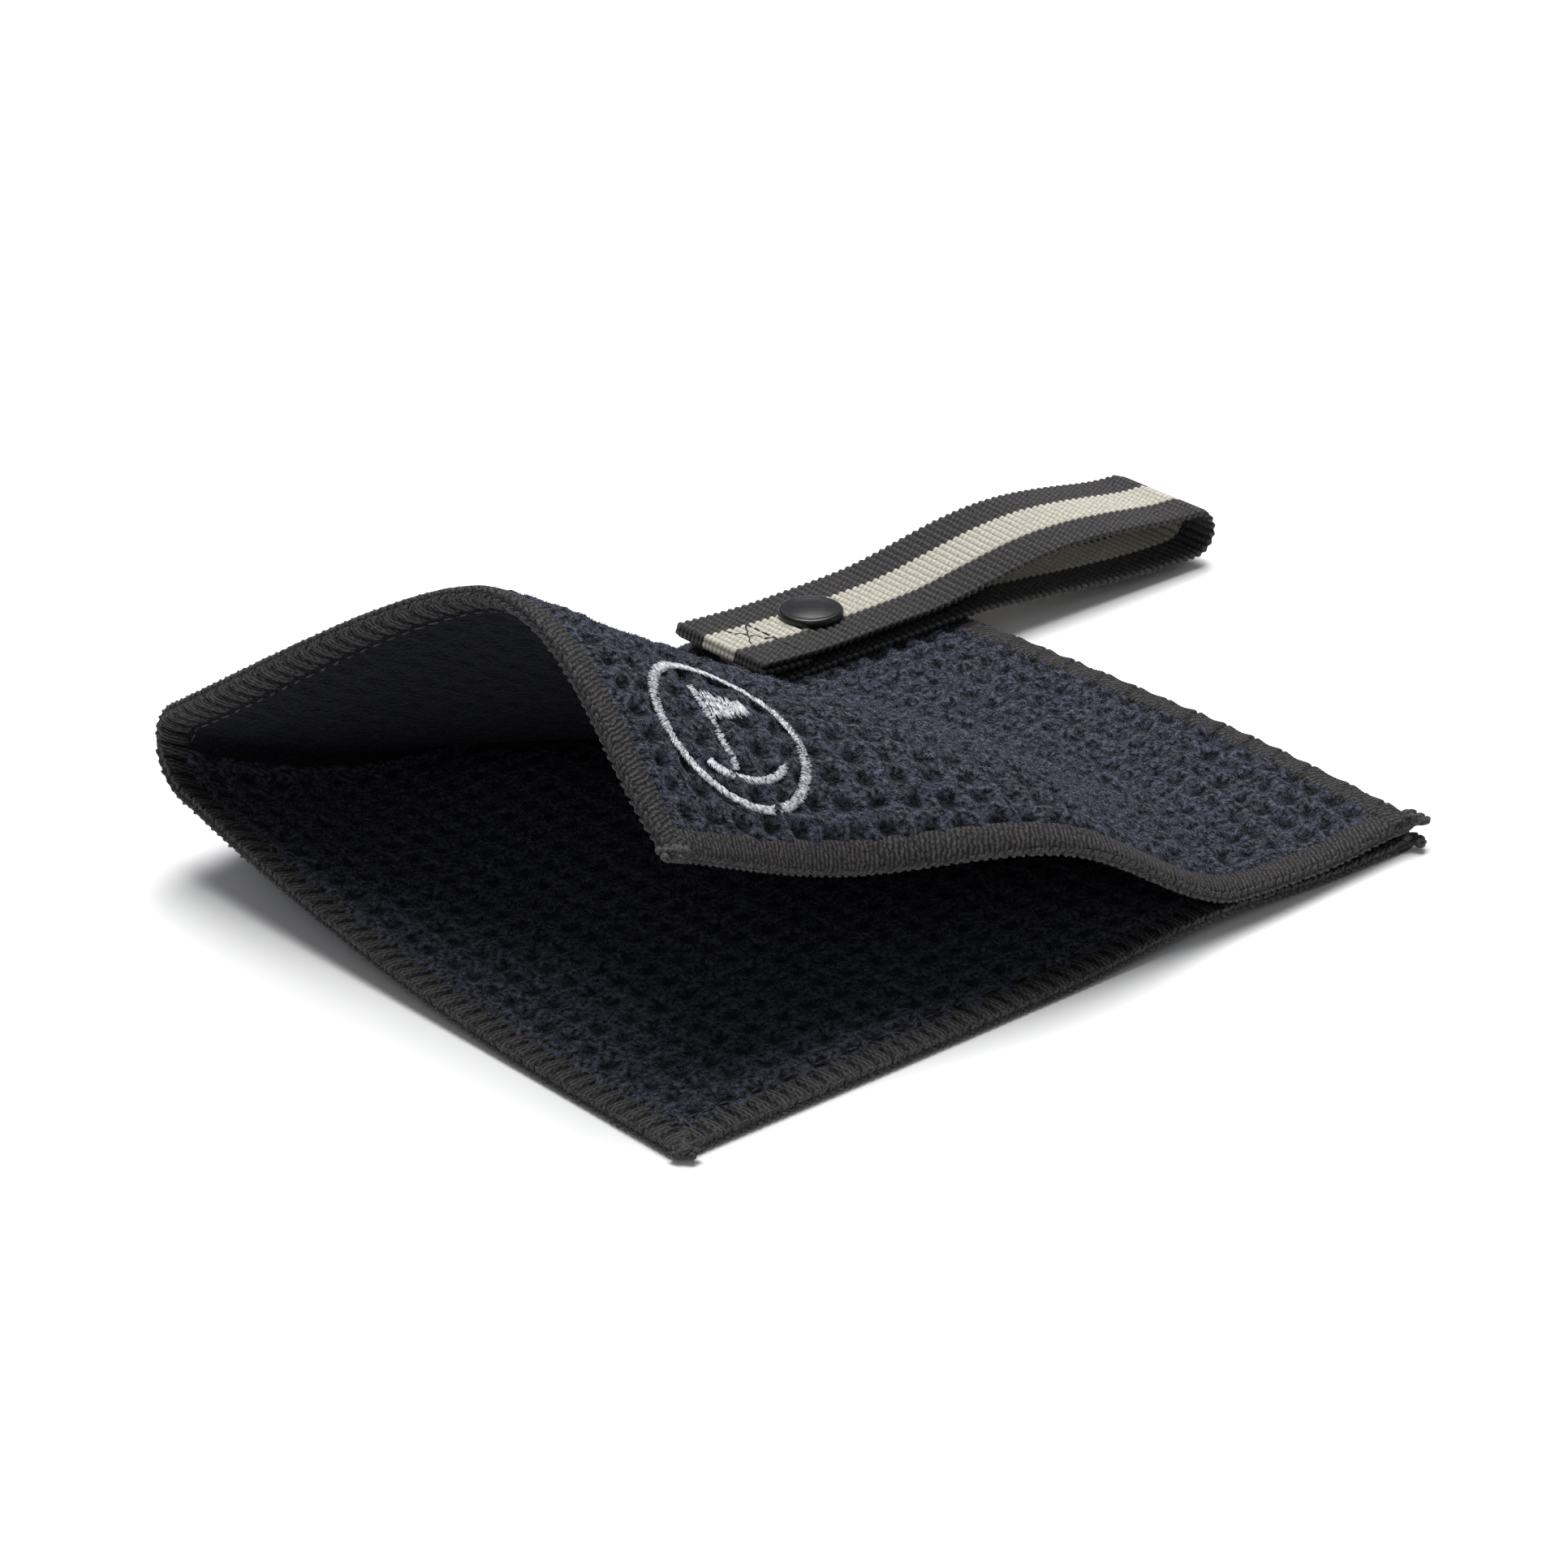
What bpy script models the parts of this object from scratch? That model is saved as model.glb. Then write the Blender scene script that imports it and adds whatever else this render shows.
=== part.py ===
"""Pocket golf-ball towel: one hemmed sheet folded in half, with a snap webbing loop at one end of the fold."""

from math import atan2, cos, pi, radians, sin

import bmesh
import bpy
import numpy as np

for old in list(bpy.data.objects):
    bpy.data.objects.remove(old, do_unlink=True)

# Sizes in metres. X runs along the fold, Y from the front hem to the fold, Z up from the table.
WIDTH = 0.136                # along the fold
DEPTH = 0.114                # front hem to the back of the fold
CLOTH = 0.0022               # thickness of the towelling and of its overlocked hem
HEM = 0.0048                 # width of the overlocked hem
GAP = 0.0003                 # clearance between neighbouring pieces
SEAM_GAP = 0.0009            # clearance between the two halves along the fold
FOLD_ROWS = 9                # rows of faces round each half of the fold
LEFT = -WIDTH / 2
RIGHT = WIDTH / 2
FRONT = -DEPTH / 2

# The fold: tight at the strap end, opened up by the ball at the other end.
FOLD_SLACK = 0.0005          # how far the cloth stands off itself inside the tight end of the fold
FOLD_RADIUS_TIGHT = CLOTH / 2 + FOLD_SLACK
FOLD_RADIUS_OPEN = 0.0070
FOLD_OPEN_SHARE = 0.75       # share of the width over which the fold tightens
OPEN_CORNER_PULL = 0.0065    # the open end of the fold is pulled this much forward
OPEN_CORNER_LIFT = 0.0122    # and lifted this much off the table
CORNER_LIFT_REACH = 0.046    # how far along the fold the lift is felt
CORNER_LIFT_START = -0.037   # Y where the lifted edge leaves the table

# The front hem of the lower panel lifts a little under the dip of the free hem.
WAVE_LIFT = 0.0016
WAVE_CENTRE = 0.027
WAVE_HALF_LENGTH = 0.028
WAVE_DEPTH = 0.020

# The upper panel hangs between three lines, each given at five places along the fold.
RIDGE_LINE = (
    (LEFT + 0.0140, FRONT + 0.0530, 0.0568),
    (LEFT + 0.0410, FRONT + 0.0430, 0.0412),
    (LEFT + 0.0740, FRONT + 0.0300, 0.0250),
    (RIGHT - 0.0340, FRONT + 0.0240, 0.0088),
    (RIGHT + 0.0004, FRONT + 0.0370, 0.0048),
)
FREE_LINE = (
    (LEFT + 0.0096, FRONT + 0.0125, 0.0354),
    (LEFT + 0.0365, FRONT + 0.0094, 0.0252),
    (LEFT + 0.0695, FRONT + 0.0014, 0.0206),
    (RIGHT - 0.0358, FRONT - 0.0014, 0.0046),
    (RIGHT, FRONT, 0.0040),
)
REST_EASE = 0.0006           # how softly the upper panel comes down onto the lower one
FOLD_SLOPES = (0.62, 0.40, -0.05, -0.06, -0.03)
FREE_SLOPES = (0.60, 1.25, 0.70, 0.25, 0.02)
RIDGE_EASE = (0.55, 0.80, 1.0, 1.0, 1.0)   # how gently the panel comes up to the ridge

# The strap: 20 mm ribbed webbing doubled back on itself into a loop.
STRAP_WIDTH = 0.0200
STRAP_THICK = 0.0009
STRAP_CENTRE = DEPTH / 2 - 0.0134
STRAP_CLEAR = 0.00055        # the sewn leg's clearance over the top of the fold
STRAP_ON_TOWEL = CLOTH + 2 * FOLD_RADIUS_TIGHT + STRAP_THICK / 2 + STRAP_CLEAR
LOOP_REST = 0.0024           # mid height of the sewn leg where the loop rests on the table
LOOP_DROP = STRAP_ON_TOWEL - LOOP_REST
LOOP_REACH = 0.0475          # how far the loop's straight part runs past the towel's edge
SEWN_LEG = (
    (RIGHT - 0.0400, STRAP_ON_TOWEL),
    (RIGHT - 0.0160, STRAP_ON_TOWEL),
    (RIGHT + 0.0010, STRAP_ON_TOWEL),
    (RIGHT + 0.0150, LOOP_REST + 0.65 * LOOP_DROP),
    (RIGHT + 0.0300, LOOP_REST + 0.225 * LOOP_DROP),
    (RIGHT + 0.0410, LOOP_REST + 0.025 * LOOP_DROP),
    (RIGHT + LOOP_REACH, LOOP_REST),
)
FREE_LEG = (
    (RIGHT - 0.0425, STRAP_ON_TOWEL + 0.0037),
    (RIGHT - 0.0360, STRAP_ON_TOWEL + 0.0032),
    (RIGHT - 0.0300, STRAP_ON_TOWEL + 0.0029),
    (RIGHT - 0.0200, STRAP_ON_TOWEL + 0.0029),
    (RIGHT - 0.0100, STRAP_ON_TOWEL + 0.0030),
    (RIGHT + 0.0020, STRAP_ON_TOWEL + 0.0034),
    (RIGHT + 0.0170, STRAP_ON_TOWEL + 0.0038),
    (RIGHT + 0.0340, STRAP_ON_TOWEL + 0.0037),
    (RIGHT + LOOP_REACH, STRAP_ON_TOWEL + 0.0030),
)
STRAP_TWIST = 0.0005         # the far edge of the loop rides this much higher than its middle
TURN_X = RIGHT + LOOP_REACH
TURN_Z = (SEWN_LEG[-1][1] + FREE_LEG[-1][1]) / 2
TURN_RADIUS = (FREE_LEG[-1][1] - SEWN_LEG[-1][1]) / 2
TAB_HEM_LENGTH = 0.0090

# The ring snap.
SNAP_X = RIGHT - 0.0250
CAP_RADIUS = 0.0050
CAP_HEIGHT = 0.0019
SOCKET_RADIUS = 0.0044
SOCKET_HEIGHT = 0.0007
STUD_RADIUS = 0.0021
STUD_HEIGHT = 0.0013
STUD_FLANGE = 0.0004

# The embroidery: a ring round a pin flag, on the outer face near the raised free corner.
EMBLEM_FROM_SIDE = 0.0235
EMBLEM_FROM_HEM = 0.0203
EMBLEM_RADIUS = 0.0122
EMBLEM_BAND = 0.0014
THREAD = 0.0005

# Overlock thread ends at the corners.
TAIL_RADIUS = 0.0012

MATERIALS = {}
HOLDER = bpy.data.collections.new("golf_ball_towel")
bpy.context.scene.collection.children.link(HOLDER)


def material(name, colour, roughness, metallic=0.0):
    made = bpy.data.materials.new(name)
    made.use_nodes = True
    shader = made.node_tree.nodes["Principled BSDF"]
    shader.inputs["Base Color"].default_value = (*colour, 1.0)
    shader.inputs["Roughness"].default_value = roughness
    shader.inputs["Metallic"].default_value = metallic
    MATERIALS[name] = made


material("navy_towelling", (0.021, 0.023, 0.040), 0.95)
material("black_overlock", (0.012, 0.011, 0.011), 0.80)
material("black_webbing", (0.018, 0.017, 0.018), 0.70)
material("silver_embroidery", (0.42, 0.43, 0.47), 0.45)
material("black_enamel", (0.010, 0.010, 0.011), 0.25, 0.3)
material("black_thread", (0.015, 0.014, 0.014), 0.60)


def smooth(share):
    share = min(max(share, 0.0), 1.0)
    return share * share * (3 - 2 * share)


def through(points, share):
    """Point on the smooth curve through evenly spaced points."""
    points = np.array(points, dtype=float)
    if points.ndim == 1:
        points = points[:, None]
    last = len(points) - 1
    place = min(max(share, 0.0), 1.0) * last
    first = min(int(place), last - 1)
    t = place - first
    a = points[first]
    b = points[first + 1]
    before = points[first - 1] if first > 0 else 2 * a - b
    after = points[first + 2] if first + 2 <= last else 2 * b - a
    ta = (b - before) / 2
    tb = (after - a) / 2
    return hermite(a, b, ta, tb, t)


def hermite(a, b, ta, tb, t):
    t2 = t * t
    t3 = t2 * t
    return a * (2 * t3 - 3 * t2 + 1) + ta * (t3 - 2 * t2 + t) + b * (3 * t2 - 2 * t3) + tb * (t3 - t2)


def fold_radius(share):
    opened = max(0.0, 1 - share / FOLD_OPEN_SHARE)
    return FOLD_RADIUS_TIGHT + (FOLD_RADIUS_OPEN - FOLD_RADIUS_TIGHT) * opened ** 2


def fold_centre_y(share):
    back = DEPTH / 2 - FOLD_RADIUS_TIGHT - CLOTH / 2
    return back - OPEN_CORNER_PULL * max(0.0, 1 - share / FOLD_OPEN_SHARE)


def lower_lift(x, y):
    """How far the lower panel is off the table at a place."""
    along = max(0.0, 1 - (x - LEFT) / CORNER_LIFT_REACH) ** 2
    back = max(0.0, (y - CORNER_LIFT_START) / (DEPTH / 2 - OPEN_CORNER_PULL - CORNER_LIFT_START)) ** 2.1
    wave = smooth(1 - abs(x - WAVE_CENTRE) / WAVE_HALF_LENGTH) * smooth(1 - (y - FRONT) / WAVE_DEPTH)
    return OPEN_CORNER_LIFT * along * back + WAVE_LIFT * wave


def lower_profile(share):
    """Mid line of the lower panel at one place along the fold, from the seam at the back to the front hem."""
    x = LEFT + WIDTH * share
    radius = fold_radius(share)
    back = fold_centre_y(share)
    bottom = CLOTH / 2 + lower_lift(x, back)
    line = []
    for step in range(10):
        angle = -pi / 2 * step / 10
        line.append((x, back + radius * cos(angle), bottom + radius + radius * sin(angle)))
    for step in range(61):
        y = back + (FRONT - back) * step / 60
        line.append((x, y, CLOTH / 2 + lower_lift(x, y)))
    return np.array(line)


def upper_profile(share):
    """Mid line of the upper panel at one place along the fold, from the seam at the back to the free hem."""
    x = LEFT + WIDTH * share
    radius = fold_radius(share)
    back = fold_centre_y(share)
    centre_z = CLOTH / 2 + lower_lift(x, back) + radius
    slope = atan2(through(FOLD_SLOPES, share)[0], 1.0)
    leave = pi / 2 - slope
    line = []
    for step in range(10):
        angle = leave * step / 10
        line.append((x, back + radius * cos(angle), centre_z + radius * sin(angle)))
    start = np.array((x, back + radius * cos(leave), centre_z + radius * sin(leave)))
    ridge = through(RIDGE_LINE, share)
    free = through(FREE_LINE, share)
    rise = np.linalg.norm(ridge - start)
    drop = np.linalg.norm(free - ridge)
    level = free - start
    level[2] = 0.0
    level /= np.linalg.norm(level)
    out = np.array((0.0, -cos(slope), sin(slope)))
    fall = through(FREE_SLOPES, share)[0]
    down = np.array((level[0] * 0.2, -1.0, -fall))
    down /= np.linalg.norm(down)
    ease = through(RIDGE_EASE, share)[0]
    for step in range(41):
        line.append(resting(hermite(start, ridge, out * rise, level * rise * ease, step / 40)))
    for step in range(1, 31):
        line.append(resting(hermite(ridge, free, level * drop, down * drop, step / 30)))
    return np.array(line)


def resting(point):
    """Keeps the upper panel on top of the lower one, with an easy join where it comes to rest."""
    rest = CLOTH / 2 + lower_lift(point[0], point[1]) + CLOTH + GAP
    height = (point[2] + rest + ((point[2] - rest) ** 2 + REST_EASE ** 2) ** 0.5) / 2
    return np.array((point[0], point[1], height))


def at_distance(line, distance, from_end=True):
    """Point on a line at a distance along it from its last (or first) point."""
    steps = np.linalg.norm(np.diff(line, axis=0), axis=1)
    run = np.concatenate(([0.0], np.cumsum(steps)))
    place = run[-1] - distance if from_end else distance
    return np.array([np.interp(place, run, line[:, axis]) for axis in range(3)])


def run_length(line):
    return np.linalg.norm(np.diff(line, axis=0), axis=1).sum()


def linked(name, mesh, material_name):
    obj = bpy.data.objects.new(name, mesh)
    mesh.materials.clear()
    mesh.materials.append(MATERIALS[material_name])
    HOLDER.objects.link(obj)
    return obj


def patch(name, across, along, place, material_name, thickness, round_off=0.0, closed=False):
    """A flat grid laid over a surface, given its thickness and softened at the rim."""
    grid = bmesh.new()
    bmesh.ops.create_grid(grid, x_segments=across, y_segments=along, size=0.5)
    for vert in grid.verts:
        vert.co = place(vert.co.x + 0.5, vert.co.y + 0.5)
    if closed:
        bmesh.ops.remove_doubles(grid, verts=grid.verts, dist=1e-6)
    bmesh.ops.recalc_face_normals(grid, faces=grid.faces)
    mesh = bpy.data.meshes.new(name)
    grid.to_mesh(mesh)
    grid.free()
    obj = linked(name, mesh, material_name)
    solid = obj.modifiers.new("thickness", "SOLIDIFY")
    solid.thickness = thickness
    solid.offset = 0.0
    solid.use_even_offset = True
    if round_off > 0:
        soft = obj.modifiers.new("rim", "BEVEL")
        soft.width = round_off
        soft.segments = 2
        soft.limit_method = "ANGLE"
        soft.angle_limit = radians(50)
    for polygon in mesh.polygons:
        polygon.use_smooth = True
    return obj


def panel_place(profile, side_from, side_to, hem_from, hem_to, rows):
    """Maps the unit square onto part of a panel: sideways, then from the seam (or hem_from) to hem_to."""
    lines = {}
    fold_part = FOLD_ROWS / rows

    def place(a, b):
        side = side_from + (side_to - side_from) * a
        key = round(side, 7)
        if key not in lines:
            lines[key] = profile(side / WIDTH)
        line = lines[key]
        if hem_from is not None:
            return at_distance(line, hem_from + (hem_to - hem_from) * b)
        far = run_length(line) - SEAM_GAP / 2
        fold = far - fold_radius(side / WIDTH) * pi / 2
        if b < fold_part:
            return at_distance(line, far + (fold - far) * b / fold_part)
        return at_distance(line, fold + (hem_to - fold) * (b - fold_part) / (1 - fold_part))

    return place


def outward(profile, side, from_hem):
    """Mid point of a panel and the direction out of its upper face."""
    step = 0.0005
    here = at_distance(profile(side / WIDTH), from_hem)
    near = max(0.0, side - step)
    across = at_distance(profile((near + step) / WIDTH), from_hem) - at_distance(profile(near / WIDTH), from_hem)
    back = at_distance(profile(side / WIDTH), from_hem + step) - here
    normal = np.cross(across, back)
    return here, normal / np.linalg.norm(normal)


INSET = HEM + GAP


def make_panel(label, profile, across, along):
    edge_rows = along + 6
    patch(
        label + "_panel", across, along,
        panel_place(profile, INSET, WIDTH - INSET, None, INSET, along),
        "navy_towelling", CLOTH,
    )
    patch(
        label + "_left_edging", 3, edge_rows,
        panel_place(profile, 0.0, HEM, None, 0.0, edge_rows),
        "black_overlock", CLOTH, 0.0006,
    )
    patch(
        label + "_right_edging", 3, edge_rows,
        panel_place(profile, WIDTH - HEM, WIDTH, None, 0.0, edge_rows),
        "black_overlock", CLOTH, 0.0006,
    )
    patch(
        label + "_front_edging", across + 8, 3,
        panel_place(profile, INSET, WIDTH - INSET, HEM, 0.0, 3),
        "black_overlock", CLOTH, 0.0006,
    )


make_panel("lower", lower_profile, 24, 26)
make_panel("upper", upper_profile, 26, 34)


def make_tail(name, profile, side, heading, length):
    """A short tapering end of overlock thread, clear of the corner it leaves from."""
    here, normal = outward(profile, side, 0.0)
    heading = np.array(heading)
    heading = heading / np.linalg.norm(heading)
    mesh = bpy.data.meshes.new(name)
    cone = bmesh.new()
    bmesh.ops.create_cone(
        cone, cap_ends=True, segments=12, radius1=TAIL_RADIUS, radius2=TAIL_RADIUS * 0.45, depth=length,
    )
    cone.to_mesh(mesh)
    cone.free()
    obj = linked(name, mesh, "black_overlock")
    turn = np.array((0.0, 0.0, 1.0))
    axis = np.cross(turn, heading)
    reach = TAIL_RADIUS * 0.35 + length / 2 + GAP
    obj.location = here + heading * reach
    obj.rotation_mode = "AXIS_ANGLE"
    obj.rotation_axis_angle = (pi / 2, *axis)
    soft = obj.modifiers.new("rim", "BEVEL")
    soft.width = TAIL_RADIUS * 0.3
    soft.segments = 2
    soft.limit_method = "ANGLE"
    return obj


make_tail("lower_left_tail", lower_profile, 0.0, (0.25, -1.0, 0.0), 0.0026)
make_tail("lower_right_tail", lower_profile, WIDTH, (0.9, -0.6, 0.0), 0.0034)
make_tail("upper_left_tail", upper_profile, 0.0, (-0.5, -0.9, 0.0), 0.0022)
make_tail("upper_right_tail", upper_profile, WIDTH, (1.0, -0.35, 0.0), 0.0044)


def on_emblem(right, up, height):
    """A place on the embroidery: millimetres across the panel and toward the fold from the emblem's centre."""
    here, normal = outward(upper_profile, EMBLEM_FROM_SIDE + right, EMBLEM_FROM_HEM + up)
    return here + normal * height


THREAD_LIFT = CLOTH / 2 + GAP + THREAD / 2


def ring_place(a, b):
    angle = 2 * pi * a
    radius = EMBLEM_RADIUS + EMBLEM_BAND * (b - 0.5)
    return on_emblem(radius * cos(angle), radius * sin(angle), THREAD_LIFT)


def pole_place(a, b):
    return on_emblem(-0.0022 + 0.0011 * (a - 0.5), -0.0062 + 0.0140 * b, THREAD_LIFT)


def flag_place(a, b):
    reach = 0.0078 * a
    half = 0.0030 * (1 - 0.85 * a)
    return on_emblem(-0.0013 + reach, 0.0046 + half * (2 * b - 1), THREAD_LIFT)


def green_place(a, b):
    angle = pi * (1.08 + 0.84 * a)
    grow = 0.0012 * (b - 0.5)
    return on_emblem((0.0072 + grow) * cos(angle), -0.0044 + (0.0034 + grow) * sin(angle), THREAD_LIFT)


patch("emblem_ring", 48, 2, ring_place, "silver_embroidery", THREAD, closed=True)
patch("emblem_pole", 1, 8, pole_place, "silver_embroidery", THREAD)
patch("emblem_flag", 6, 4, flag_place, "silver_embroidery", THREAD)
patch("emblem_green", 14, 1, green_place, "silver_embroidery", THREAD)


def strap_line(points, turn_from, turn_to):
    """Side view of a strap leg, with its share of the loop turn at the far end."""
    count = 44
    line = []
    for step in range(count):
        share = step / (count - 1)
        line.append(spaced(points, share))
    for step in range(1, 9):
        angle = turn_from + (turn_to - turn_from) * step / 8
        line.append((TURN_X + TURN_RADIUS * cos(angle), TURN_Z + TURN_RADIUS * sin(angle)))
    return np.array(line)


def spaced(points, share):
    """Smooth height through unevenly spaced stations."""
    xs = np.array([point[0] for point in points])
    zs = np.array([point[1] for point in points])
    slopes = np.gradient(zs, xs)
    slopes[0] = (zs[1] - zs[0]) / (xs[1] - xs[0])
    slopes[-1] = 0.0
    x = xs[0] + (xs[-1] - xs[0]) * share
    k = min(max(int(np.searchsorted(xs, x)) - 1, 0), len(xs) - 2)
    run = xs[k + 1] - xs[k]
    t = (x - xs[k]) / run
    return x, hermite(zs[k], zs[k + 1], slopes[k] * run, slopes[k + 1] * run, t)


def strap_place(line, twist=0.0):
    flat = np.column_stack((line[:, 0], np.zeros(len(line)), line[:, 1]))
    length = run_length(flat)

    def place(a, b):
        point = at_distance(flat, length * b, from_end=False)
        tilt = twist * smooth((point[0] - SNAP_X - CAP_RADIUS) / 0.03) * smooth((TURN_X - point[0]) / 0.03)
        return np.array((point[0], STRAP_CENTRE + STRAP_WIDTH * (a - 0.5), point[2] + tilt * (2 * a - 1)))

    return place


turn_gap = GAP / 2 / TURN_RADIUS
sewn_line = strap_line(SEWN_LEG, -pi / 2, -turn_gap)
free_line = strap_line(FREE_LEG, pi / 2, turn_gap)
patch("strap_sewn_leg", 2, 60, strap_place(sewn_line), "black_webbing", STRAP_THICK)
patch("strap_free_leg", 2, 64, strap_place(free_line, STRAP_TWIST), "black_webbing", STRAP_THICK)

tab_start = FREE_LEG[0][0]
tab_line = np.array([
    (tab_start + TAB_HEM_LENGTH * step / 8, spaced(FREE_LEG, TAB_HEM_LENGTH * step / 8 / (TURN_X - tab_start))[1])
    for step in range(9)
])
tab_line[:, 1] -= STRAP_THICK + GAP
patch("strap_tab_hem", 2, 8, strap_place(tab_line), "black_webbing", STRAP_THICK)


def stitch_place(centre_x, centre_y, angle, length, level):
    def place(a, b):
        x = centre_x + length * (b - 0.5) * cos(angle) - 0.0006 * (a - 0.5) * sin(angle)
        y = centre_y + length * (b - 0.5) * sin(angle) + 0.0006 * (a - 0.5) * cos(angle)
        return np.array((x, y, level(x)))

    return place


def over_tab(x):
    share = (x - tab_start) / (TURN_X - tab_start)
    return spaced(FREE_LEG, share)[1] + STRAP_THICK / 2 + GAP + THREAD / 2


tab_stitch_x = tab_start + TAB_HEM_LENGTH / 2 + 0.0006
tab_stitch_length = 0.0086
patch(
    "strap_tab_stitch_across", 1, 10,
    stitch_place(tab_stitch_x, STRAP_CENTRE, pi / 3.2, tab_stitch_length, over_tab),
    "black_thread", THREAD,
)
for side, label in ((-1, "near"), (1, "far")):
    reach_y = STRAP_CENTRE + side * tab_stitch_length / 3.1 * sin(pi / 3.2) * 0.95
    reach_x = tab_stitch_x - side * tab_stitch_length / 3.1 * cos(pi / 3.2) * 0.95
    patch(
        "strap_tab_stitch_" + label, 1, 6,
        stitch_place(reach_x, reach_y, -pi / 3.2, tab_stitch_length * 0.4, over_tab),
        "black_thread", THREAD,
    )


def turned(name, outline, base, material_name):
    """A round part turned from its half section about an upright axis through the snap."""
    mesh = bpy.data.meshes.new(name)
    section = bmesh.new()
    verts = [section.verts.new((x, 0.0, z)) for x, z in outline]
    for first, second in zip(verts, verts[1:]):
        section.edges.new((first, second))
    if outline[0][0] > 0:
        section.edges.new((verts[-1], verts[0]))
    section.to_mesh(mesh)
    section.free()
    obj = linked(name, mesh, material_name)
    obj.location = (SNAP_X, STRAP_CENTRE, base)
    lathe = obj.modifiers.new("turned", "SCREW")
    lathe.steps = 32
    lathe.render_steps = 32
    lathe.use_merge_vertices = True
    lathe.merge_threshold = 0.0001
    lathe.use_normal_calculate = True
    return obj


snap_strap_z = spaced(FREE_LEG, (SNAP_X - tab_start) / (TURN_X - tab_start))[1]
cap_outline = [(0.0, CAP_HEIGHT * 0.80)]
cap_outline += [
    (CAP_RADIUS * 0.72 * step / 5, CAP_HEIGHT * (0.80 - 0.05 * (step / 5) ** 2)) for step in range(1, 6)
]
cap_outline += [
    (CAP_RADIUS * 0.78, CAP_HEIGHT * 0.86),
    (CAP_RADIUS * 0.86, CAP_HEIGHT),
    (CAP_RADIUS * 0.94, CAP_HEIGHT * 0.90),
    (CAP_RADIUS, CAP_HEIGHT * 0.55),
    (CAP_RADIUS * 0.98, CAP_HEIGHT * 0.12),
    (CAP_RADIUS * 0.92, 0.0),
    (0.0, 0.0),
]
turned("snap_cap", cap_outline, snap_strap_z + STRAP_THICK / 2 + GAP, "black_enamel")

socket_outline = [
    (STUD_RADIUS + GAP, SOCKET_HEIGHT),
    (SOCKET_RADIUS - 0.0002, SOCKET_HEIGHT),
    (SOCKET_RADIUS, SOCKET_HEIGHT - 0.0002),
    (SOCKET_RADIUS, 0.0002),
    (SOCKET_RADIUS - 0.0002, 0.0),
    (STUD_RADIUS + GAP, 0.0),
]
socket_base = snap_strap_z - STRAP_THICK / 2 - GAP - SOCKET_HEIGHT
turned("snap_socket", socket_outline, socket_base, "black_enamel")

stud_base = STRAP_ON_TOWEL + STRAP_THICK / 2 + GAP
stud_outline = [
    (0.0, STUD_HEIGHT),
    (STUD_RADIUS * 0.75, STUD_HEIGHT),
    (STUD_RADIUS, STUD_HEIGHT * 0.80),
    (STUD_RADIUS * 0.90, STUD_FLANGE + 0.0001),
    (SOCKET_RADIUS * 0.95, STUD_FLANGE),
    (SOCKET_RADIUS, STUD_FLANGE * 0.5),
    (SOCKET_RADIUS * 0.95, 0.0),
    (0.0, 0.0),
]
turned("snap_stud", stud_outline, stud_base, "black_enamel")
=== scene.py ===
# %% [markdown]
# # A pocket golf-ball towel, from its frame to its threads
# The towel is one sheet of waffle-woven microfibre, hemmed all round with an overlock stitch and folded in half.
# A webbing strap is doubled into a loop at one end of the fold and closes with a ring snap.
# The CAD frame already says where everything lies and what moves with what. This script dresses that frame:
# each step makes one piece of cloth, thread or metal over its CAD node, and most pieces ride on the same body.

# %% Load the fixed frame
from math import cos, pi, radians, sin

import bpy
import numpy as np
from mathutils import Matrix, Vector


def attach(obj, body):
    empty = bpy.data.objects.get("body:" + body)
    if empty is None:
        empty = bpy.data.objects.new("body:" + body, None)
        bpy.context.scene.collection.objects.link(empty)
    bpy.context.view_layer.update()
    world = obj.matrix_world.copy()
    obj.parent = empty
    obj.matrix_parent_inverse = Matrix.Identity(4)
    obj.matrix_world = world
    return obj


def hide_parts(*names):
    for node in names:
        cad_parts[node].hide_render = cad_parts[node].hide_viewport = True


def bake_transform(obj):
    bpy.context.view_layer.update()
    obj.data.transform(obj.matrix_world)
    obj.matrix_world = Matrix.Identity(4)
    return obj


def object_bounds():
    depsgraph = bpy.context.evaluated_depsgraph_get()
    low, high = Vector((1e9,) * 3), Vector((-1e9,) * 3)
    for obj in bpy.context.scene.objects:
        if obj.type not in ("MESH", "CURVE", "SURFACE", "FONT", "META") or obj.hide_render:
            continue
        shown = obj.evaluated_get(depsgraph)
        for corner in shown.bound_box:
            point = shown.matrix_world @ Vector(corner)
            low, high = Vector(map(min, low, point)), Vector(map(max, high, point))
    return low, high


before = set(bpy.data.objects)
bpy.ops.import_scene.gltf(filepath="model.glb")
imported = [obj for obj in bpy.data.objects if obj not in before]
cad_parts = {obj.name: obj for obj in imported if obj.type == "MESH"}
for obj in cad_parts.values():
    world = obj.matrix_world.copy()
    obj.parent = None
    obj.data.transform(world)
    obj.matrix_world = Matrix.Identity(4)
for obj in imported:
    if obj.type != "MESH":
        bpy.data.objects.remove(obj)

cad_box = [list(corner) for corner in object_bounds()]
print("frame box, mm:", [[round(value * 1000, 1) for value in corner] for corner in cad_box])

# %% [markdown]
# ## The camera and the room
# A long lens from the front left corner, a little above the table. The lens is set first, because every detail
# is made only as fine as this view needs.

# %% Camera
LENS = 123.7
EYE = Vector((-0.4479, -0.5124, 0.3380))
LOOK = Vector((0.5929, 0.6789, -0.4330))


def shown(name, data):
    """A new object in the scene."""
    made = bpy.data.objects.new(name, data)
    bpy.context.scene.collection.objects.link(made)
    return made


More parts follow.
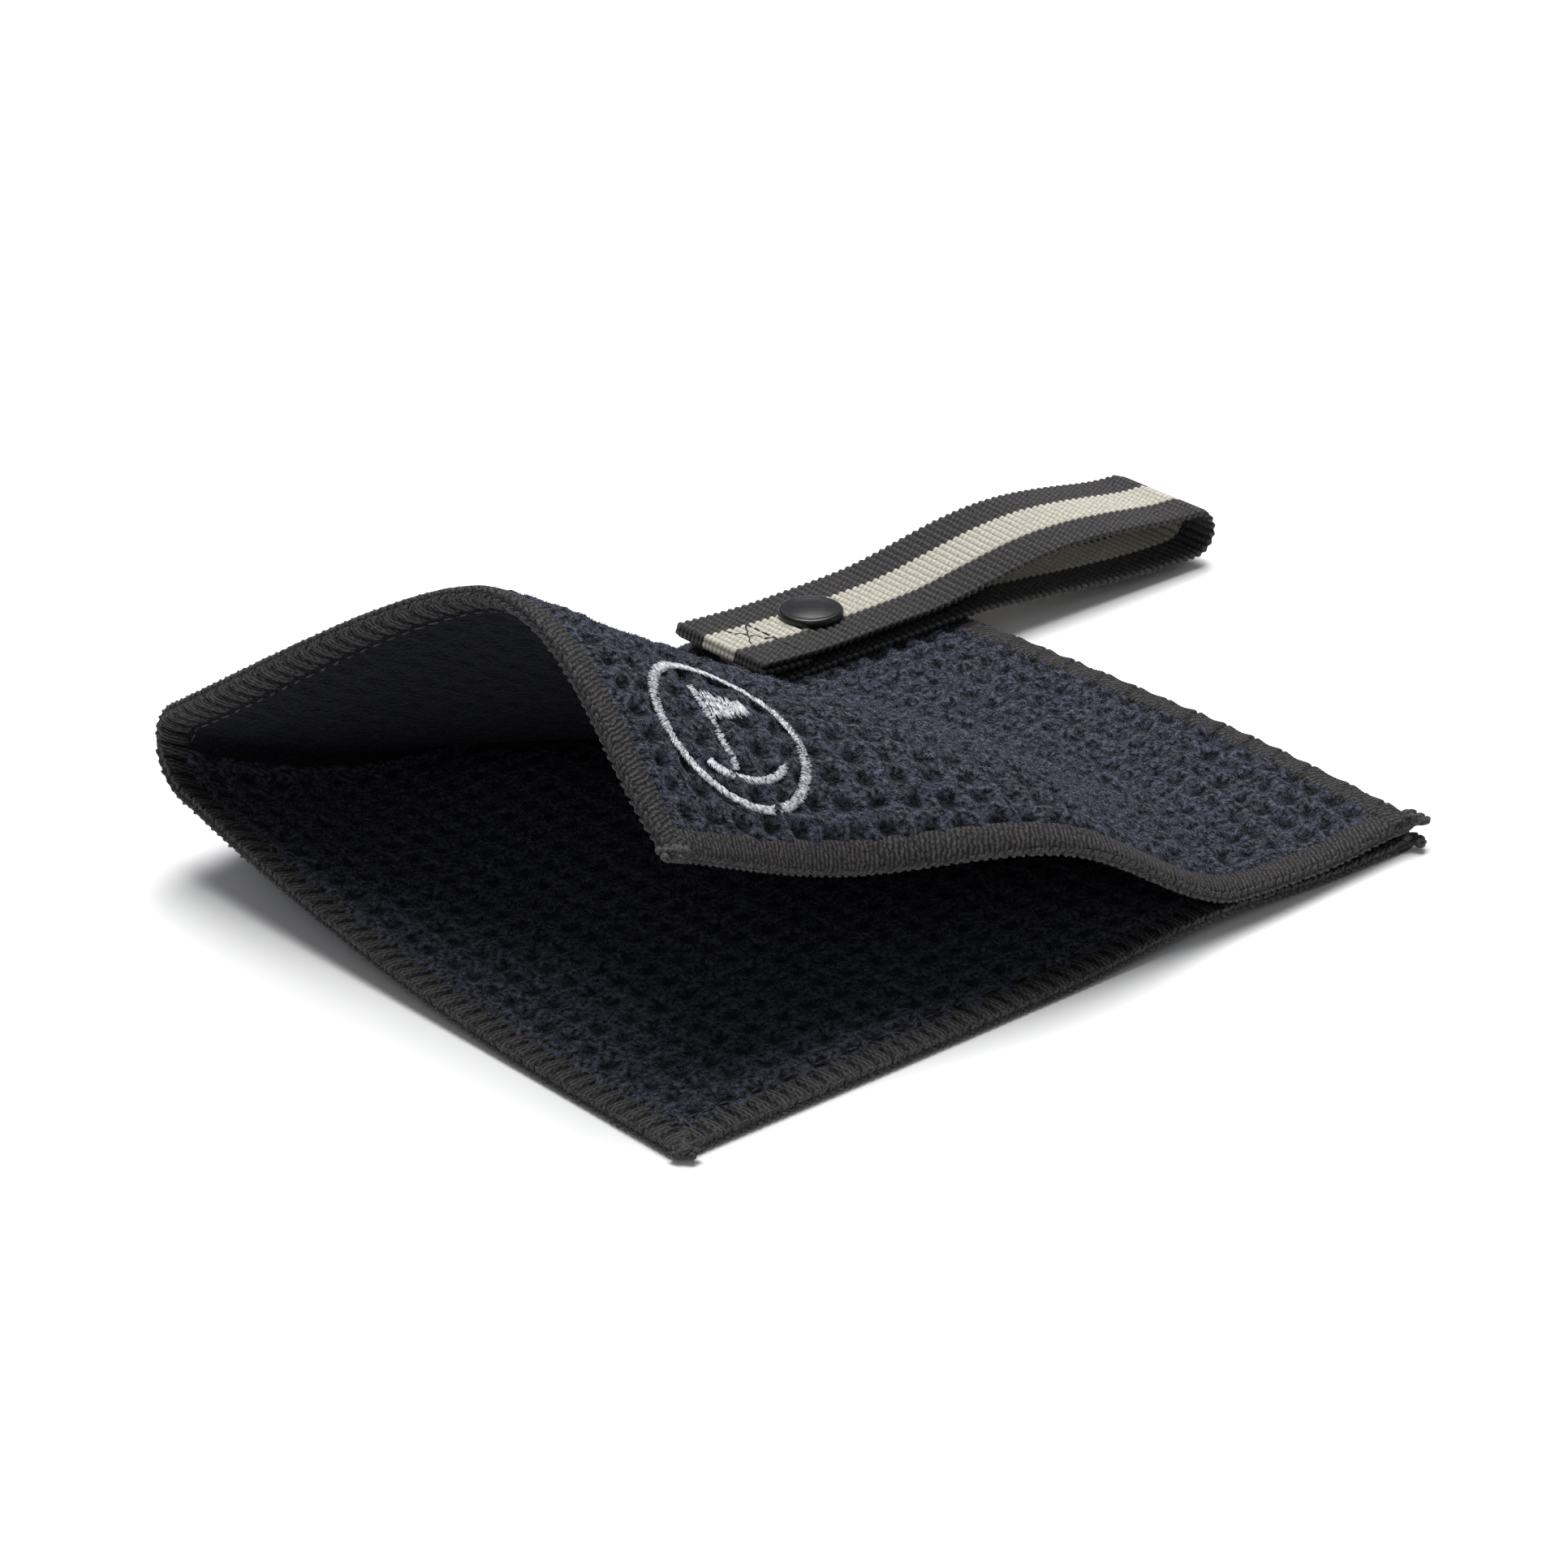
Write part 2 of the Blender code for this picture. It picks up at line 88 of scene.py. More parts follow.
camera = shown("camera", bpy.data.cameras.new("camera"))
camera.data.lens = LENS
camera.data.sensor_width = 36.0
camera.data.clip_start = 0.01
camera.location = EYE
camera.rotation_euler = LOOK.to_track_quat("-Z", "Y").to_euler()
bpy.context.scene.camera = camera
print("camera", LENS, "mm lens,", round(EYE.length, 3), "m away")

# %% [markdown]
# ## Small helpers for materials
# Colours are written as the hex values a screen shows and turned to the linear values that light is counted in.
# Every shader below is built with one function that adds a node, sets it and wires it. The others are short names
# for the nodes that come up again and again.

# %% Colour and node helpers
MM = 1000.0


def tint(code):
    shown = [int(code[place:place + 2], 16) / 255 for place in (1, 3, 5)]
    linear = [value / 12.92 if value <= 0.04045 else ((value + 0.055) / 1.055) ** 2.4 for value in shown]
    return (*linear, 1.0)


def add(tree, kind, feeds=None, **settings):
    made = tree.nodes.new(kind)
    for name, value in settings.items():
        setattr(made, name, value)
    for name, value in (feeds or {}).items():
        if isinstance(value, bpy.types.NodeSocket):
            tree.links.new(value, made.inputs[name])
        else:
            made.inputs[name].default_value = value
    return made


def blank(name, **sockets):
    """A new material: its node tree and its shader, with the shader's own sockets set."""
    made = bpy.data.materials.new(name)
    made.use_nodes = True
    shader = made.node_tree.nodes["Principled BSDF"]
    for key, value in sockets.items():
        shader.inputs[key.replace("_", " ")].default_value = value
    return made, made.node_tree, shader


def wire(tree, shader, **feeds):
    """Feeds the shader's named sockets."""
    for key, value in feeds.items():
        tree.links.new(value, shader.inputs[key.replace("_", " ")])


def weave_place(tree):
    """The place on the cloth itself, in metres."""
    return add(tree, "ShaderNodeUVMap", uv_map="weave").outputs["UV"]


def object_place(tree):
    return add(tree, "ShaderNodeTexCoord").outputs["Object"]


def carried(tree, name):
    """A number that every point of the mesh carries."""
    return add(tree, "ShaderNodeAttribute", attribute_name=name).outputs["Fac"]


def noise(tree, place, grain, detail, roughness=0.5):
    """A smooth random field with blotches about `grain` millimetres across."""
    feeds = {"Vector": place, "Scale": MM / grain, "Detail": detail, "Roughness": roughness}
    return add(tree, "ShaderNodeTexNoise", feeds).outputs["Fac"]


def between(tree, share, low, high, start=0.0, end=1.0):
    """A colour between two hex colours: the low one up to `start` and the high one from `end`."""
    ramp = add(tree, "ShaderNodeValToRGB", {"Fac": share})
    for stop, place, code in zip(ramp.color_ramp.elements, (start, end), (low, high)):
        stop.position = place
        stop.color = tint(code)
    return ramp.outputs["Color"]


def mix(tree, share, low, high, how="MIX"):
    feeds = {"Factor": share, "A": low, "B": high}
    return add(tree, "ShaderNodeMix", feeds, data_type="RGBA", blend_type=how).outputs["Result"]


def bump(tree, height, strength, distance, **under):
    feeds = {"Strength": strength, "Distance": distance, "Height": height, **under}
    return add(tree, "ShaderNodeBump", feeds).outputs["Normal"]


def maths(tree, operation, *values):
    return add(tree, "ShaderNodeMath", dict(enumerate(values)), operation=operation).outputs["Value"]


def span(tree, value, from_low, from_high, to_low, to_high):
    """A value carried over from one range to another."""
    feeds = {"Value": value, "From Min": from_low, "From Max": from_high, "To Min": to_low, "To Max": to_high}
    return add(tree, "ShaderNodeMapRange", feeds).outputs["Result"]


# %% Floor and lights
FLOOR_REACH = 6.0
ground = cad_box[0][2]
paper, tree, shader = blank("matt_backdrop_paper", Roughness=0.9)
mottle = add(tree, "ShaderNodeTexNoise", {"Scale": 3.0, "Detail": 2.0})
wire(tree, shader, Base_Color=between(tree, mottle.outputs["Fac"], "#fafafa", "#ffffff"))

floor_mesh = bpy.data.meshes.new("floor")
corners = [(x * FLOOR_REACH, y * FLOOR_REACH, ground) for x, y in ((-1, -1), (1, -1), (1, 1), (-1, 1))]
floor_mesh.from_pydata(corners, [], [(0, 1, 2, 3)])
floor_mesh.materials.append(paper)
floor = shown("floor", floor_mesh)


def softbox(name, place, target, size, power):
    lamp = bpy.data.lights.new(name, "AREA")
    lamp.shape = "RECTANGLE"
    lamp.size, lamp.size_y = size
    lamp.energy = power
    stand = shown(name, lamp)
    stand.location = place
    stand.rotation_euler = (Vector(target) - Vector(place)).to_track_quat("-Z", "Y").to_euler()


softbox("overhead_softbox", (0.12, 0.16, 0.95), (0.0, 0.0, 0.0), (0.70, 0.65), 12.5)
softbox("back_right_softbox", (0.45, 0.42, 0.85), (0.02, 0.0, 0.0), (0.4, 0.4), 2.6)
softbox("front_left_fill", (-0.70, -0.60, 0.60), (0.0, 0.0, 0.02), (0.5, 0.4), 0.9)

room = bpy.data.worlds.new("white_room")
bpy.context.scene.world = room
room.use_nodes = True
room.node_tree.nodes["Background"].inputs["Color"].default_value = tint("#f4f6fa")
room.node_tree.nodes["Background"].inputs["Strength"].default_value = 0.20
bpy.context.scene.view_settings.view_transform = "Standard"
print("floor at", round(ground * 1000, 2), "mm")

# %% [markdown]
# ## The shape of the folded sheet
# The sheet is a rule rather than a sculpture: at each place along the fold, a line runs from the seam at the back
# to the hem at the front. Below it is nearly flat on the table. Above it goes over a ridge, where the ball holds
# it up, and down to the free hem. The same sizes drive the CAD panels, so cloth made from them fits the frame.

# %% Sizes of the sheet
WIDTH = 0.136
DEPTH = 0.114
CLOTH = 0.0022
HEM = 0.0048
# The towelling's own edge lies this far inside the rim, under the hem.
TUCK = 0.0022
GAP = 0.0003
LEFT = -WIDTH / 2
FRONT = -DEPTH / 2
FOLD_RADIUS_TIGHT = 0.0016
FOLD_RADIUS_OPEN = 0.0070
FOLD_OPEN_SHARE = 0.75
OPEN_CORNER_PULL = 0.0065
OPEN_CORNER_LIFT = 0.0122
CORNER_LIFT_REACH = 0.046
CORNER_LIFT_START = -0.037
WAVE_LIFT = 0.0016
WAVE_CENTRE = 0.027
WAVE_HALF_LENGTH = 0.028
WAVE_DEPTH = 0.020
RIDGE_LINE = (
    (-0.0540, -0.0040, 0.0568), (-0.0270, -0.0140, 0.0412), (0.0060, -0.0270, 0.0250),
    (0.0340, -0.0330, 0.0088), (0.0684, -0.0200, 0.0048),
)
FREE_LINE = (
    (-0.0584, -0.0445, 0.0354), (-0.0315, -0.0476, 0.0252), (0.0015, -0.0556, 0.0206),
    (0.0322, -0.0584, 0.0046), (0.0680, -0.0570, 0.0040),
)
REST_EASE = 0.0006
FOLD_SLOPES = (0.62, 0.40, -0.05, -0.06, -0.03)
FREE_SLOPES = (0.60, 1.25, 0.70, 0.25, 0.02)
RIDGE_EASE = (0.55, 0.80, 1.0, 1.0, 1.0)


def smooth(share):
    share = np.clip(share, 0.0, 1.0)
    return share * share * (3 - 2 * share)


def hermite(a, b, ta, tb, t):
    t2 = t * t
    t3 = t2 * t
    return a * (2 * t3 - 3 * t2 + 1) + ta * (t3 - 2 * t2 + t) + b * (3 * t2 - 2 * t3) + tb * (t3 - t2)


def through(points, share):
    """Point on the smooth curve through evenly spaced points."""
    points = np.array(points, dtype=float).reshape(len(points), -1)
    last = len(points) - 1
    place = min(max(share, 0.0), 1.0) * last
    first = min(int(place), last - 1)
    a = points[first]
    b = points[first + 1]
    before = points[first - 1] if first > 0 else 2 * a - b
    after = points[first + 2] if first + 2 <= last else 2 * b - a
    return hermite(a, b, (b - before) / 2, (after - a) / 2, place - first)


def fold_radius(share):
    return FOLD_RADIUS_TIGHT + (FOLD_RADIUS_OPEN - FOLD_RADIUS_TIGHT) * max(0.0, 1 - share / FOLD_OPEN_SHARE) ** 2


def fold_centre_y(share):
    return DEPTH / 2 - FOLD_RADIUS_TIGHT - CLOTH / 2 - OPEN_CORNER_PULL * max(0.0, 1 - share / FOLD_OPEN_SHARE)


def lower_lift(x, y):
    """How far the lower panel is off the table at a place."""
    along = np.maximum(0.0, 1 - (x - LEFT) / CORNER_LIFT_REACH) ** 2
    back = np.maximum(0.0, (y - CORNER_LIFT_START) / (DEPTH / 2 - OPEN_CORNER_PULL - CORNER_LIFT_START)) ** 2.1
    wave = smooth(1 - np.abs(x - WAVE_CENTRE) / WAVE_HALF_LENGTH) * smooth(1 - (y - FRONT) / WAVE_DEPTH)
    return OPEN_CORNER_LIFT * along * back + WAVE_LIFT * wave


def arc_of_fold(x, share, angles):
    """Points round the fold, from the seam at the back of it."""
    radius = fold_radius(share)
    back = fold_centre_y(share)
    middle = CLOTH / 2 + lower_lift(x, back) + radius
    return np.column_stack((np.full(len(angles), x), back + radius * np.cos(angles), middle + radius * np.sin(angles)))


def lower_profile(share):
    x = LEFT + WIDTH * share
    back = fold_centre_y(share)
    arc = arc_of_fold(x, share, -pi / 2 * np.arange(10) / 10)
    y = back + (FRONT - back) * np.arange(61) / 60
    return np.vstack((arc, np.column_stack((np.full(61, x), y, CLOTH / 2 + lower_lift(x, y)))))


def resting(points):
    """Keeps the upper panel on top of the lower one, with an easy join where it comes to rest."""
    rest = CLOTH / 2 + lower_lift(points[:, 0], points[:, 1]) + CLOTH + GAP
    above = points[:, 2] - rest
    points[:, 2] = (points[:, 2] + rest + np.sqrt(above ** 2 + REST_EASE ** 2)) / 2
    return points


def upper_profile(share):
    x = LEFT + WIDTH * share
    slope = np.arctan(through(FOLD_SLOPES, share)[0])
    leave = pi / 2 - slope
    arc = arc_of_fold(x, share, leave * np.arange(11) / 10)
    start = arc[-1]
    ridge = through(RIDGE_LINE, share)
    free = through(FREE_LINE, share)
    rise = np.linalg.norm(ridge - start)
    drop = np.linalg.norm(free - ridge)
    level = (free - start) * (1, 1, 0)
    level /= np.linalg.norm(level)
    out = np.array((0.0, -cos(slope), sin(slope)))
    down = np.array((level[0] * 0.2, -1.0, -through(FREE_SLOPES, share)[0]))
    down /= np.linalg.norm(down)
    ease = through(RIDGE_EASE, share)[0]
    first = np.arange(41)[:, None] / 40
    second = np.arange(1, 31)[:, None] / 30
    over = np.vstack((
        hermite(start, ridge, out * rise, level * rise * ease, first),
        hermite(ridge, free, level * drop, down * drop, second),
    ))
    return np.vstack((arc[:10], resting(over)))


# %% [markdown]
# Every later piece asks the same question: where is the middle of the cloth at a place on it, and which way does it
# face? Answering that once on a fine table, and reading between its entries, is quicker than working it out for
# every one of several hundred thousand points.

# %% A table of each panel
ROWS = 480
COLUMNS = 273
SMOOTHING = np.array((1, 4, 6, 4, 1)) / 16


def unit(vectors):
    return vectors / np.linalg.norm(vectors, axis=-1, keepdims=True)


def run_along(line):
    """Distance from the start of a line to each of its points."""
    return np.concatenate(([0.0], np.cumsum(np.linalg.norm(np.diff(line, axis=0), axis=1))))


def survey(profile):
    """Mid surface and upward normal at evenly spaced places, from the hem (row 0) to the seam."""
    mid = np.empty((COLUMNS, ROWS, 3))
    lengths = np.empty(COLUMNS)
    for column in range(COLUMNS):
        line = profile(column / (COLUMNS - 1))[::-1]
        run = run_along(line)
        lengths[column] = run[-1]
        wanted = np.linspace(0, run[-1], ROWS)
        mid[column] = np.column_stack([np.interp(wanted, run, line[:, axis]) for axis in range(3)])
    for _ in range(2):
        padded = np.concatenate((mid[:, :2], mid, mid[:, -2:]), axis=1)
        inner = sum(SMOOTHING[k] * padded[:, k:k + ROWS] for k in range(5))
        mid[:, 2:-2] = inner[:, 2:-2]
    normal = unit(np.cross(np.gradient(mid, axis=0), np.gradient(mid, axis=1)))
    return {"mid": mid, "normal": normal, "length": lengths}


LOWER = survey(lower_profile)
UPPER = survey(upper_profile)
for label, panel in (("lower", LOWER), ("upper", UPPER)):
    print(label, "half, seam to hem at its two ends, mm:", (panel["length"][[0, -1]] * 1000).round(1))


def cloth_at(panel, side, from_hem, height=0.0):
    """Point that stands `height` above a panel, at metres from its left side and from its front hem."""
    side, from_hem, height = np.broadcast_arrays(side, from_hem, height)
    across = side / WIDTH * (COLUMNS - 1)
    column = np.clip(across.astype(int), 0, COLUMNS - 2)
    part = across - column
    reach = panel["length"][column] * (1 - part) + panel["length"][column + 1] * part
    along = from_hem / reach * (ROWS - 1)
    row = np.clip(np.floor(along).astype(int), 0, ROWS - 2)
    rest = along - row
    found = []
    for key in ("mid", "normal"):
        table = panel[key]
        low = table[column, row] * (1 - part)[..., None] + table[column + 1, row] * part[..., None]
        high = table[column, row + 1] * (1 - part)[..., None] + table[column + 1, row + 1] * part[..., None]
        found.append(low * (1 - rest)[..., None] + high * rest[..., None])
    return found[0] + found[1] * height[..., None]


def seam_distance(panel, side):
    return np.interp(side / WIDTH * (COLUMNS - 1), np.arange(COLUMNS), panel["length"])


# %% [markdown]
# A smooth random field stands in for everything that a loom and a washing machine do unevenly. It is a coarse
# grid of random heights, read smoothly in between, so its grain has a real size in metres.

# %% Uneven cloth


def unevenness(u, v, grain, seed):
    """Smooth random field between -1 and 1 with features about `grain` metres across."""
    rng = np.random.default_rng(seed)
    lattice = rng.uniform(-1, 1, (64, 64))
    a = u / grain
    b = v / grain
    i = np.floor(a).astype(int)
    j = np.floor(b).astype(int)
    p = smooth(a - i)
    q = smooth(b - j)
    low = lattice[i % 64, j % 64] * (1 - p) + lattice[(i + 1) % 64, j % 64] * p
    high = lattice[i % 64, (j + 1) % 64] * (1 - p) + lattice[(i + 1) % 64, (j + 1) % 64] * p
    return low * (1 - q) + high * q


def rough_length(u, v, grain, seed):
    """Unevenness at three sizes, for tufts on top of lumps."""
    return sum(unevenness(u, v, grain / 2.1 ** k, seed + k) / 1.7 ** k for k in range(3)) / 1.7


def closed_mesh(name, points, faces, finish, uv=None, marks=None):
    """An object whose mesh has these points and faces, a UV per point and named numbers per point."""
    mesh = bpy.data.meshes.new(name)
    mesh.from_pydata(points.tolist(), [], faces)
    if uv is not None:
        layer = mesh.uv_layers.new(name="weave")
        corner = np.empty(len(mesh.loops), dtype=np.int32)
        mesh.loops.foreach_get("vertex_index", corner)
        layer.data.foreach_set("uv", uv[corner].astype(np.float32).ravel())
    for key, values in (marks or {}).items():
        mesh.attributes.new(key, "FLOAT", "POINT").data.foreach_set("value", values.astype(np.float32))
    mesh.materials.append(finish)
    mesh.shade_smooth()
    corners = np.empty(len(mesh.loop_triangles) * 3, dtype=np.int32)
    mesh.loop_triangles.foreach_get("vertices", corners)
    a, b, c = points[corners].reshape(-1, 3, 3).transpose(1, 0, 2)
    volume = (a * np.cross(b, c)).sum() / 6
    if volume < 0:
        mesh.flip_normals()
    print(name, len(corners) // 3, "triangles,", round(abs(volume) * 1e9, 1), "cubic mm")
    return shown(name, mesh)


def grid_faces(across, along, start=0, flip=False):
    """Quads of a grid stored row by row along its second direction."""
    a, b = np.meshgrid(np.arange(across - 1), np.arange(along - 1), indexing="ij")
    near = a * along + b
    far = near + along
    quads = np.stack((near, far, far + 1, near + 1), axis=-1).reshape(-1, 4) + start
    return quads[:, ::-1] if flip else quads


# %% [markdown]
# ## The towelling
# Waffle microfibre is woven so that raised bars of looped pile cross at right angles and leave a square pit in
# each cell. Measured on the cloth, a cell is about 5.1 mm along the fold and 4.2 mm toward it. The pile hides the
# threads, so the eye sees soft bars, dark pits and a fuzz. The bars are real relief here, because they break up the
# outline and catch the light at any angle, and the pits get painted shade. The pile's own tufts come from the
# shader's bump, from painted shade between them and from fibres.

# %% Towelling material
microfibre, tree, shader = blank(
    "navy_waffle_microfibre", Roughness=0.92, IOR=1.46, Sheen_Weight=0.10, Sheen_Roughness=0.45,
    Sheen_Tint=tint("#a4a8bc"), Specular_IOR_Level=0.15,
)
weave = weave_place(tree)
# Tufts of pile are about 0.9 mm across, single loops about 0.4 mm, and washing fades patches of about 14 mm.
tufts = noise(tree, weave, 0.9, 3.0, 0.65)
loops = add(tree, "ShaderNodeTexVoronoi", {"Vector": weave, "Scale": MM / 0.38, "Randomness": 1.0})
# Painted shade: the tufts' colour runs from near black where their bump is low to light navy on their tops.
navy_with_painted_tuft_shade = between(tree, tufts, "#0b0c10", "#5a5c6c", 0.40, 0.66)
worn = mix(tree, noise(tree, weave, 14.0, 2.0), (0.82, 0.82, 0.85, 1), (1.12, 1.12, 1.08, 1))
# Painted shade: the mesh's pit number darkens the waffle pits toward near black.
deep = mix(tree, carried(tree, "pit"), mix(tree, 1.0, navy_with_painted_tuft_shade, worn, "MULTIPLY"), tint("#050609"))
# Painted shade: the inner face of the flap is darkened toward near black, as the inside of the pocket lies in shade.
inner = mix(tree, carried(tree, "inside"), deep, tint("#050609"))
loop_bump = bump(tree, loops.outputs["Distance"], 1.0, 0.00022)
wire(tree, shader, Base_Color=inner, Normal=bump(tree, tufts, 1.0, 0.0009, Normal=loop_bump))
print("cloth material", microfibre.name)

# %% Towelling relief
CELL_ALONG_FOLD = 0.0051
CELL_TO_FOLD = 0.0042
GRID = 0.00056
BAR_WANDER = 0.0006
WANDER_GRAIN = 0.006
SKEW = 0.00016
RIM_THICKNESS = 0.0007
RIM_EASE = 0.0034
TUFT_GRAIN = 0.0021
PILE_FROM_RIM = 0.0022
PILE_FADE = 0.0006


def waffle(u, v, seed):
    """Height of the waffle from 0 in a pit to 1 on a bar."""
    u = u + BAR_WANDER * unevenness(u, v, WANDER_GRAIN, seed)
    v = v + BAR_WANDER * unevenness(u, v, WANDER_GRAIN, seed + 1) + SKEW * u / CELL_ALONG_FOLD
    bar_u = np.abs(np.cos(pi * u / CELL_ALONG_FOLD)) ** 2.6
    bar_v = np.abs(np.cos(pi * v / CELL_TO_FOLD)) ** 2.2
    return 1 - (1 - bar_u) * (1 - bar_v)


def towelling(name, panel, faces_proud, shade, seed):
    """Both faces of one panel's towelling, closed at its rim, from under the hem to the seam."""
    columns = int((WIDTH - 2 * TUCK) / GRID)
    rows = int((DEPTH + 0.004) / GRID)
    side = np.linspace(TUCK, WIDTH - TUCK, columns)[:, None]
    share = np.linspace(0, 1, rows)[None, :]
    from_hem = TUCK + (seam_distance(panel, side) - TUCK) * share
    side = np.broadcast_to(side, from_hem.shape)
    rim = np.minimum(np.minimum(side - TUCK, WIDTH - TUCK - side), from_hem - TUCK)
    full = smooth(rim / RIM_EASE)
    bars = waffle(side, from_hem, seed)
    points = []
    marks = {"pit": [], "pile": [], "inside": []}
    for up, proud, dark in zip((1, -1), faces_proud, shade):
        fuzz = rough_length(side, from_hem, TUFT_GRAIN, seed + 5 + up)
        relief = proud * (1.0 * bars + 0.40 * fuzz - 0.50)
        thick = (CLOTH / 2 - RIM_THICKNESS) + full * (RIM_THICKNESS + relief)
        points.append(cloth_at(panel, side, from_hem, up * thick).reshape(-1, 3))
        furry = smooth((rim - PILE_FROM_RIM) / PILE_FADE) * (0.04 + 0.96 * bars ** 1.4) * (up > 0)
        marks["pile"].append(furry.ravel())
        # Painted shade for the pits: dark where the bars are low, less where the fuzz rises, none at the rim.
        marks["pit"].append(np.clip(((1 - bars) * 1.35 - 0.30 - 0.35 * fuzz) * full, 0, 1).ravel() * 0.92)
        # Painted shade on each face, by the share given in shade.
        marks["inside"].append(np.full(bars.size, dark))
    count = columns * rows
    edge = np.concatenate((
        np.arange(rows), np.arange(1, columns) * rows + rows - 1,
        (columns - 1) * rows + np.arange(rows - 2, -1, -1), np.arange(columns - 2, 0, -1) * rows,
    ))
    beside = np.roll(edge, -1)
    wall = np.stack((edge, beside, beside + count, edge + count), axis=-1)
    quads = np.vstack((grid_faces(columns, rows), grid_faces(columns, rows, count, flip=True), wall))
    uv = np.column_stack((side.ravel(), from_hem.ravel()))
    marks = {key: np.concatenate(values) for key, values in marks.items()}
    return closed_mesh(name, np.vstack(points), quads.tolist(), microfibre, np.vstack((uv, uv)), marks)


# The flap's inner face gets painted shade almost to black, and the lower panel gets none.
lower_cloth = towelling("lower_cloth", LOWER, (0.0007, 0.0002), (0.0, 0.0), 11)
upper_cloth = towelling("upper_cloth", UPPER, (0.0012, 0.0003), (0.0, 0.97), 31)

# %% [markdown]
# ## Stitches by Geometry Nodes
# A hem, an emblem and a sewn strap all show the same thing over and over: one short length of thread. Copying it by
# hand would be slow and could not be changed later. Instead, each row of stitches is a set of points that carry two
# directions, along the thread and out of the cloth, and one node tree puts a plump lozenge of thread on every point.

# %% Stitch tree


def sockets(tree, **kinds):
    """Named inputs and one geometry output of a node tree. Returns the inputs' sockets and the output node."""
    for name, kind in kinds.items():
        tree.interface.new_socket(name.replace("_", " "), in_out="INPUT", socket_type="NodeSocket" + kind)
    tree.interface.new_socket("Geometry", in_out="OUTPUT", socket_type="NodeSocketGeometry")
    return add(tree, "NodeGroupInput").outputs, add(tree, "NodeGroupOutput")


def field(tree, name, kind):
    return add(tree, "GeometryNodeInputNamedAttribute", {"Name": name}, data_type=kind).outputs["Attribute"]


def xyz(tree, **parts):
    return add(tree, "ShaderNodeCombineXYZ", parts).outputs["Vector"]


def random_between(tree, low, high, seed, kind="FLOAT"):
    made = add(tree, "FunctionNodeRandomValue", {"Min": low, "Max": high, "Seed": seed}, data_type=kind)
    return next(output for output in made.outputs if output.enabled)


def turned_by(tree, rotation, euler):
    """A rotation with one more turn about its own axes."""
    extra = add(tree, "FunctionNodeEulerToRotation", {"Euler": euler}).outputs["Rotation"]
    feeds = {"Rotation": rotation, "Rotate By": extra}
    return add(tree, "FunctionNodeRotateRotation", feeds, rotation_space="LOCAL").outputs["Rotation"]


def plant(tree, points, shape, rotation, scale, material, result):
    """One shape on every point, made into real smooth faces in their own finish, as an export drops instances."""
    feeds = {"Points": points, "Instance": shape, "Rotation": rotation, "Scale": scale}
    placed = add(tree, "GeometryNodeInstanceOnPoints", feeds)
    real = add(tree, "GeometryNodeRealizeInstances", {"Geometry": placed.outputs["Instances"]})
    soft = add(tree, "GeometryNodeSetShadeSmooth", {"Geometry": real.outputs["Geometry"]})
    painted = add(tree, "GeometryNodeSetMaterial", {"Geometry": soft.outputs["Geometry"], "Material": material})
    tree.links.new(painted.outputs["Geometry"], result.inputs["Geometry"])


stitch_tree = tree = bpy.data.node_groups.new("rows_of_stitches", "GeometryNodeTree")
given, result = sockets(
    tree, Geometry="Geometry", Length="Float", Width="Float", Height="Float",
    Wobble="Float", Uneven="Float", Seed="Int", Thread="Material",
)
lozenge = add(tree, "GeometryNodeMeshUVSphere", {"Segments": 7, "Rings": 5, "Radius": 0.5})
aimed = add(tree, "FunctionNodeAlignRotationToVector", {"Vector": field(tree, "along", "FLOAT_VECTOR")}, axis="X")
upright = add(
    tree, "FunctionNodeAlignRotationToVector",
    {"Rotation": aimed.outputs["Rotation"], "Vector": field(tree, "out", "FLOAT_VECTOR")}, axis="Z", pivot_axis="X",
)
swing = random_between(tree, maths(tree, "MULTIPLY", given["Wobble"], -1.0), given["Wobble"], given["Seed"])
swung = turned_by(tree, upright.outputs["Rotation"], xyz(tree, Z=swing))
shrink = maths(tree, "SUBTRACT", 1.0, given["Uneven"])
grow = maths(tree, "ADD", 1.0, given["Uneven"])
long = maths(tree, "MULTIPLY", given["Length"], random_between(tree, shrink, grow, given["Seed"]))
size = xyz(tree, X=long, Y=given["Width"], Z=given["Height"])
plant(tree, given["Geometry"], lozenge.outputs["Mesh"], swung, size, given["Thread"], result)


def grown(name, source, tree, **settings):
    """Runs a node tree on a mesh and keeps the result as a plain mesh object."""
    maker = source.modifiers.new("maker", "NODES")
    maker.node_group = tree
    named = {item.name: item.identifier for item in tree.interface.items_tree if item.in_out == "INPUT"}
    for key, value in settings.items():
        maker[named[key.replace("_", " ")]] = value
    bpy.context.view_layer.update()
    evaluated = source.evaluated_get(bpy.context.evaluated_depsgraph_get())
    mesh = bpy.data.meshes.new_from_object(evaluated)
    mesh.name = name
    source.modifiers.remove(maker)
    print(name, sum(len(face.vertices) - 2 for face in mesh.polygons), "triangles")
    return shown(name, mesh)


def stitches(name, places, along, out, thread, length, width, height, wobble, uneven, seed):
    """One lozenge of thread at each place."""
    guide = bpy.data.meshes.new(name + "_guide")
    guide.from_pydata(places.reshape(-1, 3).tolist(), [], [])
    for key, values in (("along", along), ("out", out)):
        marks = guide.attributes.new(key, "FLOAT_VECTOR", "POINT")
        marks.data.foreach_set("vector", np.broadcast_to(values, places.shape).astype(np.float32).ravel())
    holder = shown(name + "_guide", guide)
    made = grown(
        name, holder, stitch_tree, Length=length, Width=width, Height=height,
        Wobble=wobble, Uneven=uneven, Seed=seed, Thread=thread,
    )
    bpy.data.objects.remove(holder)
    return made


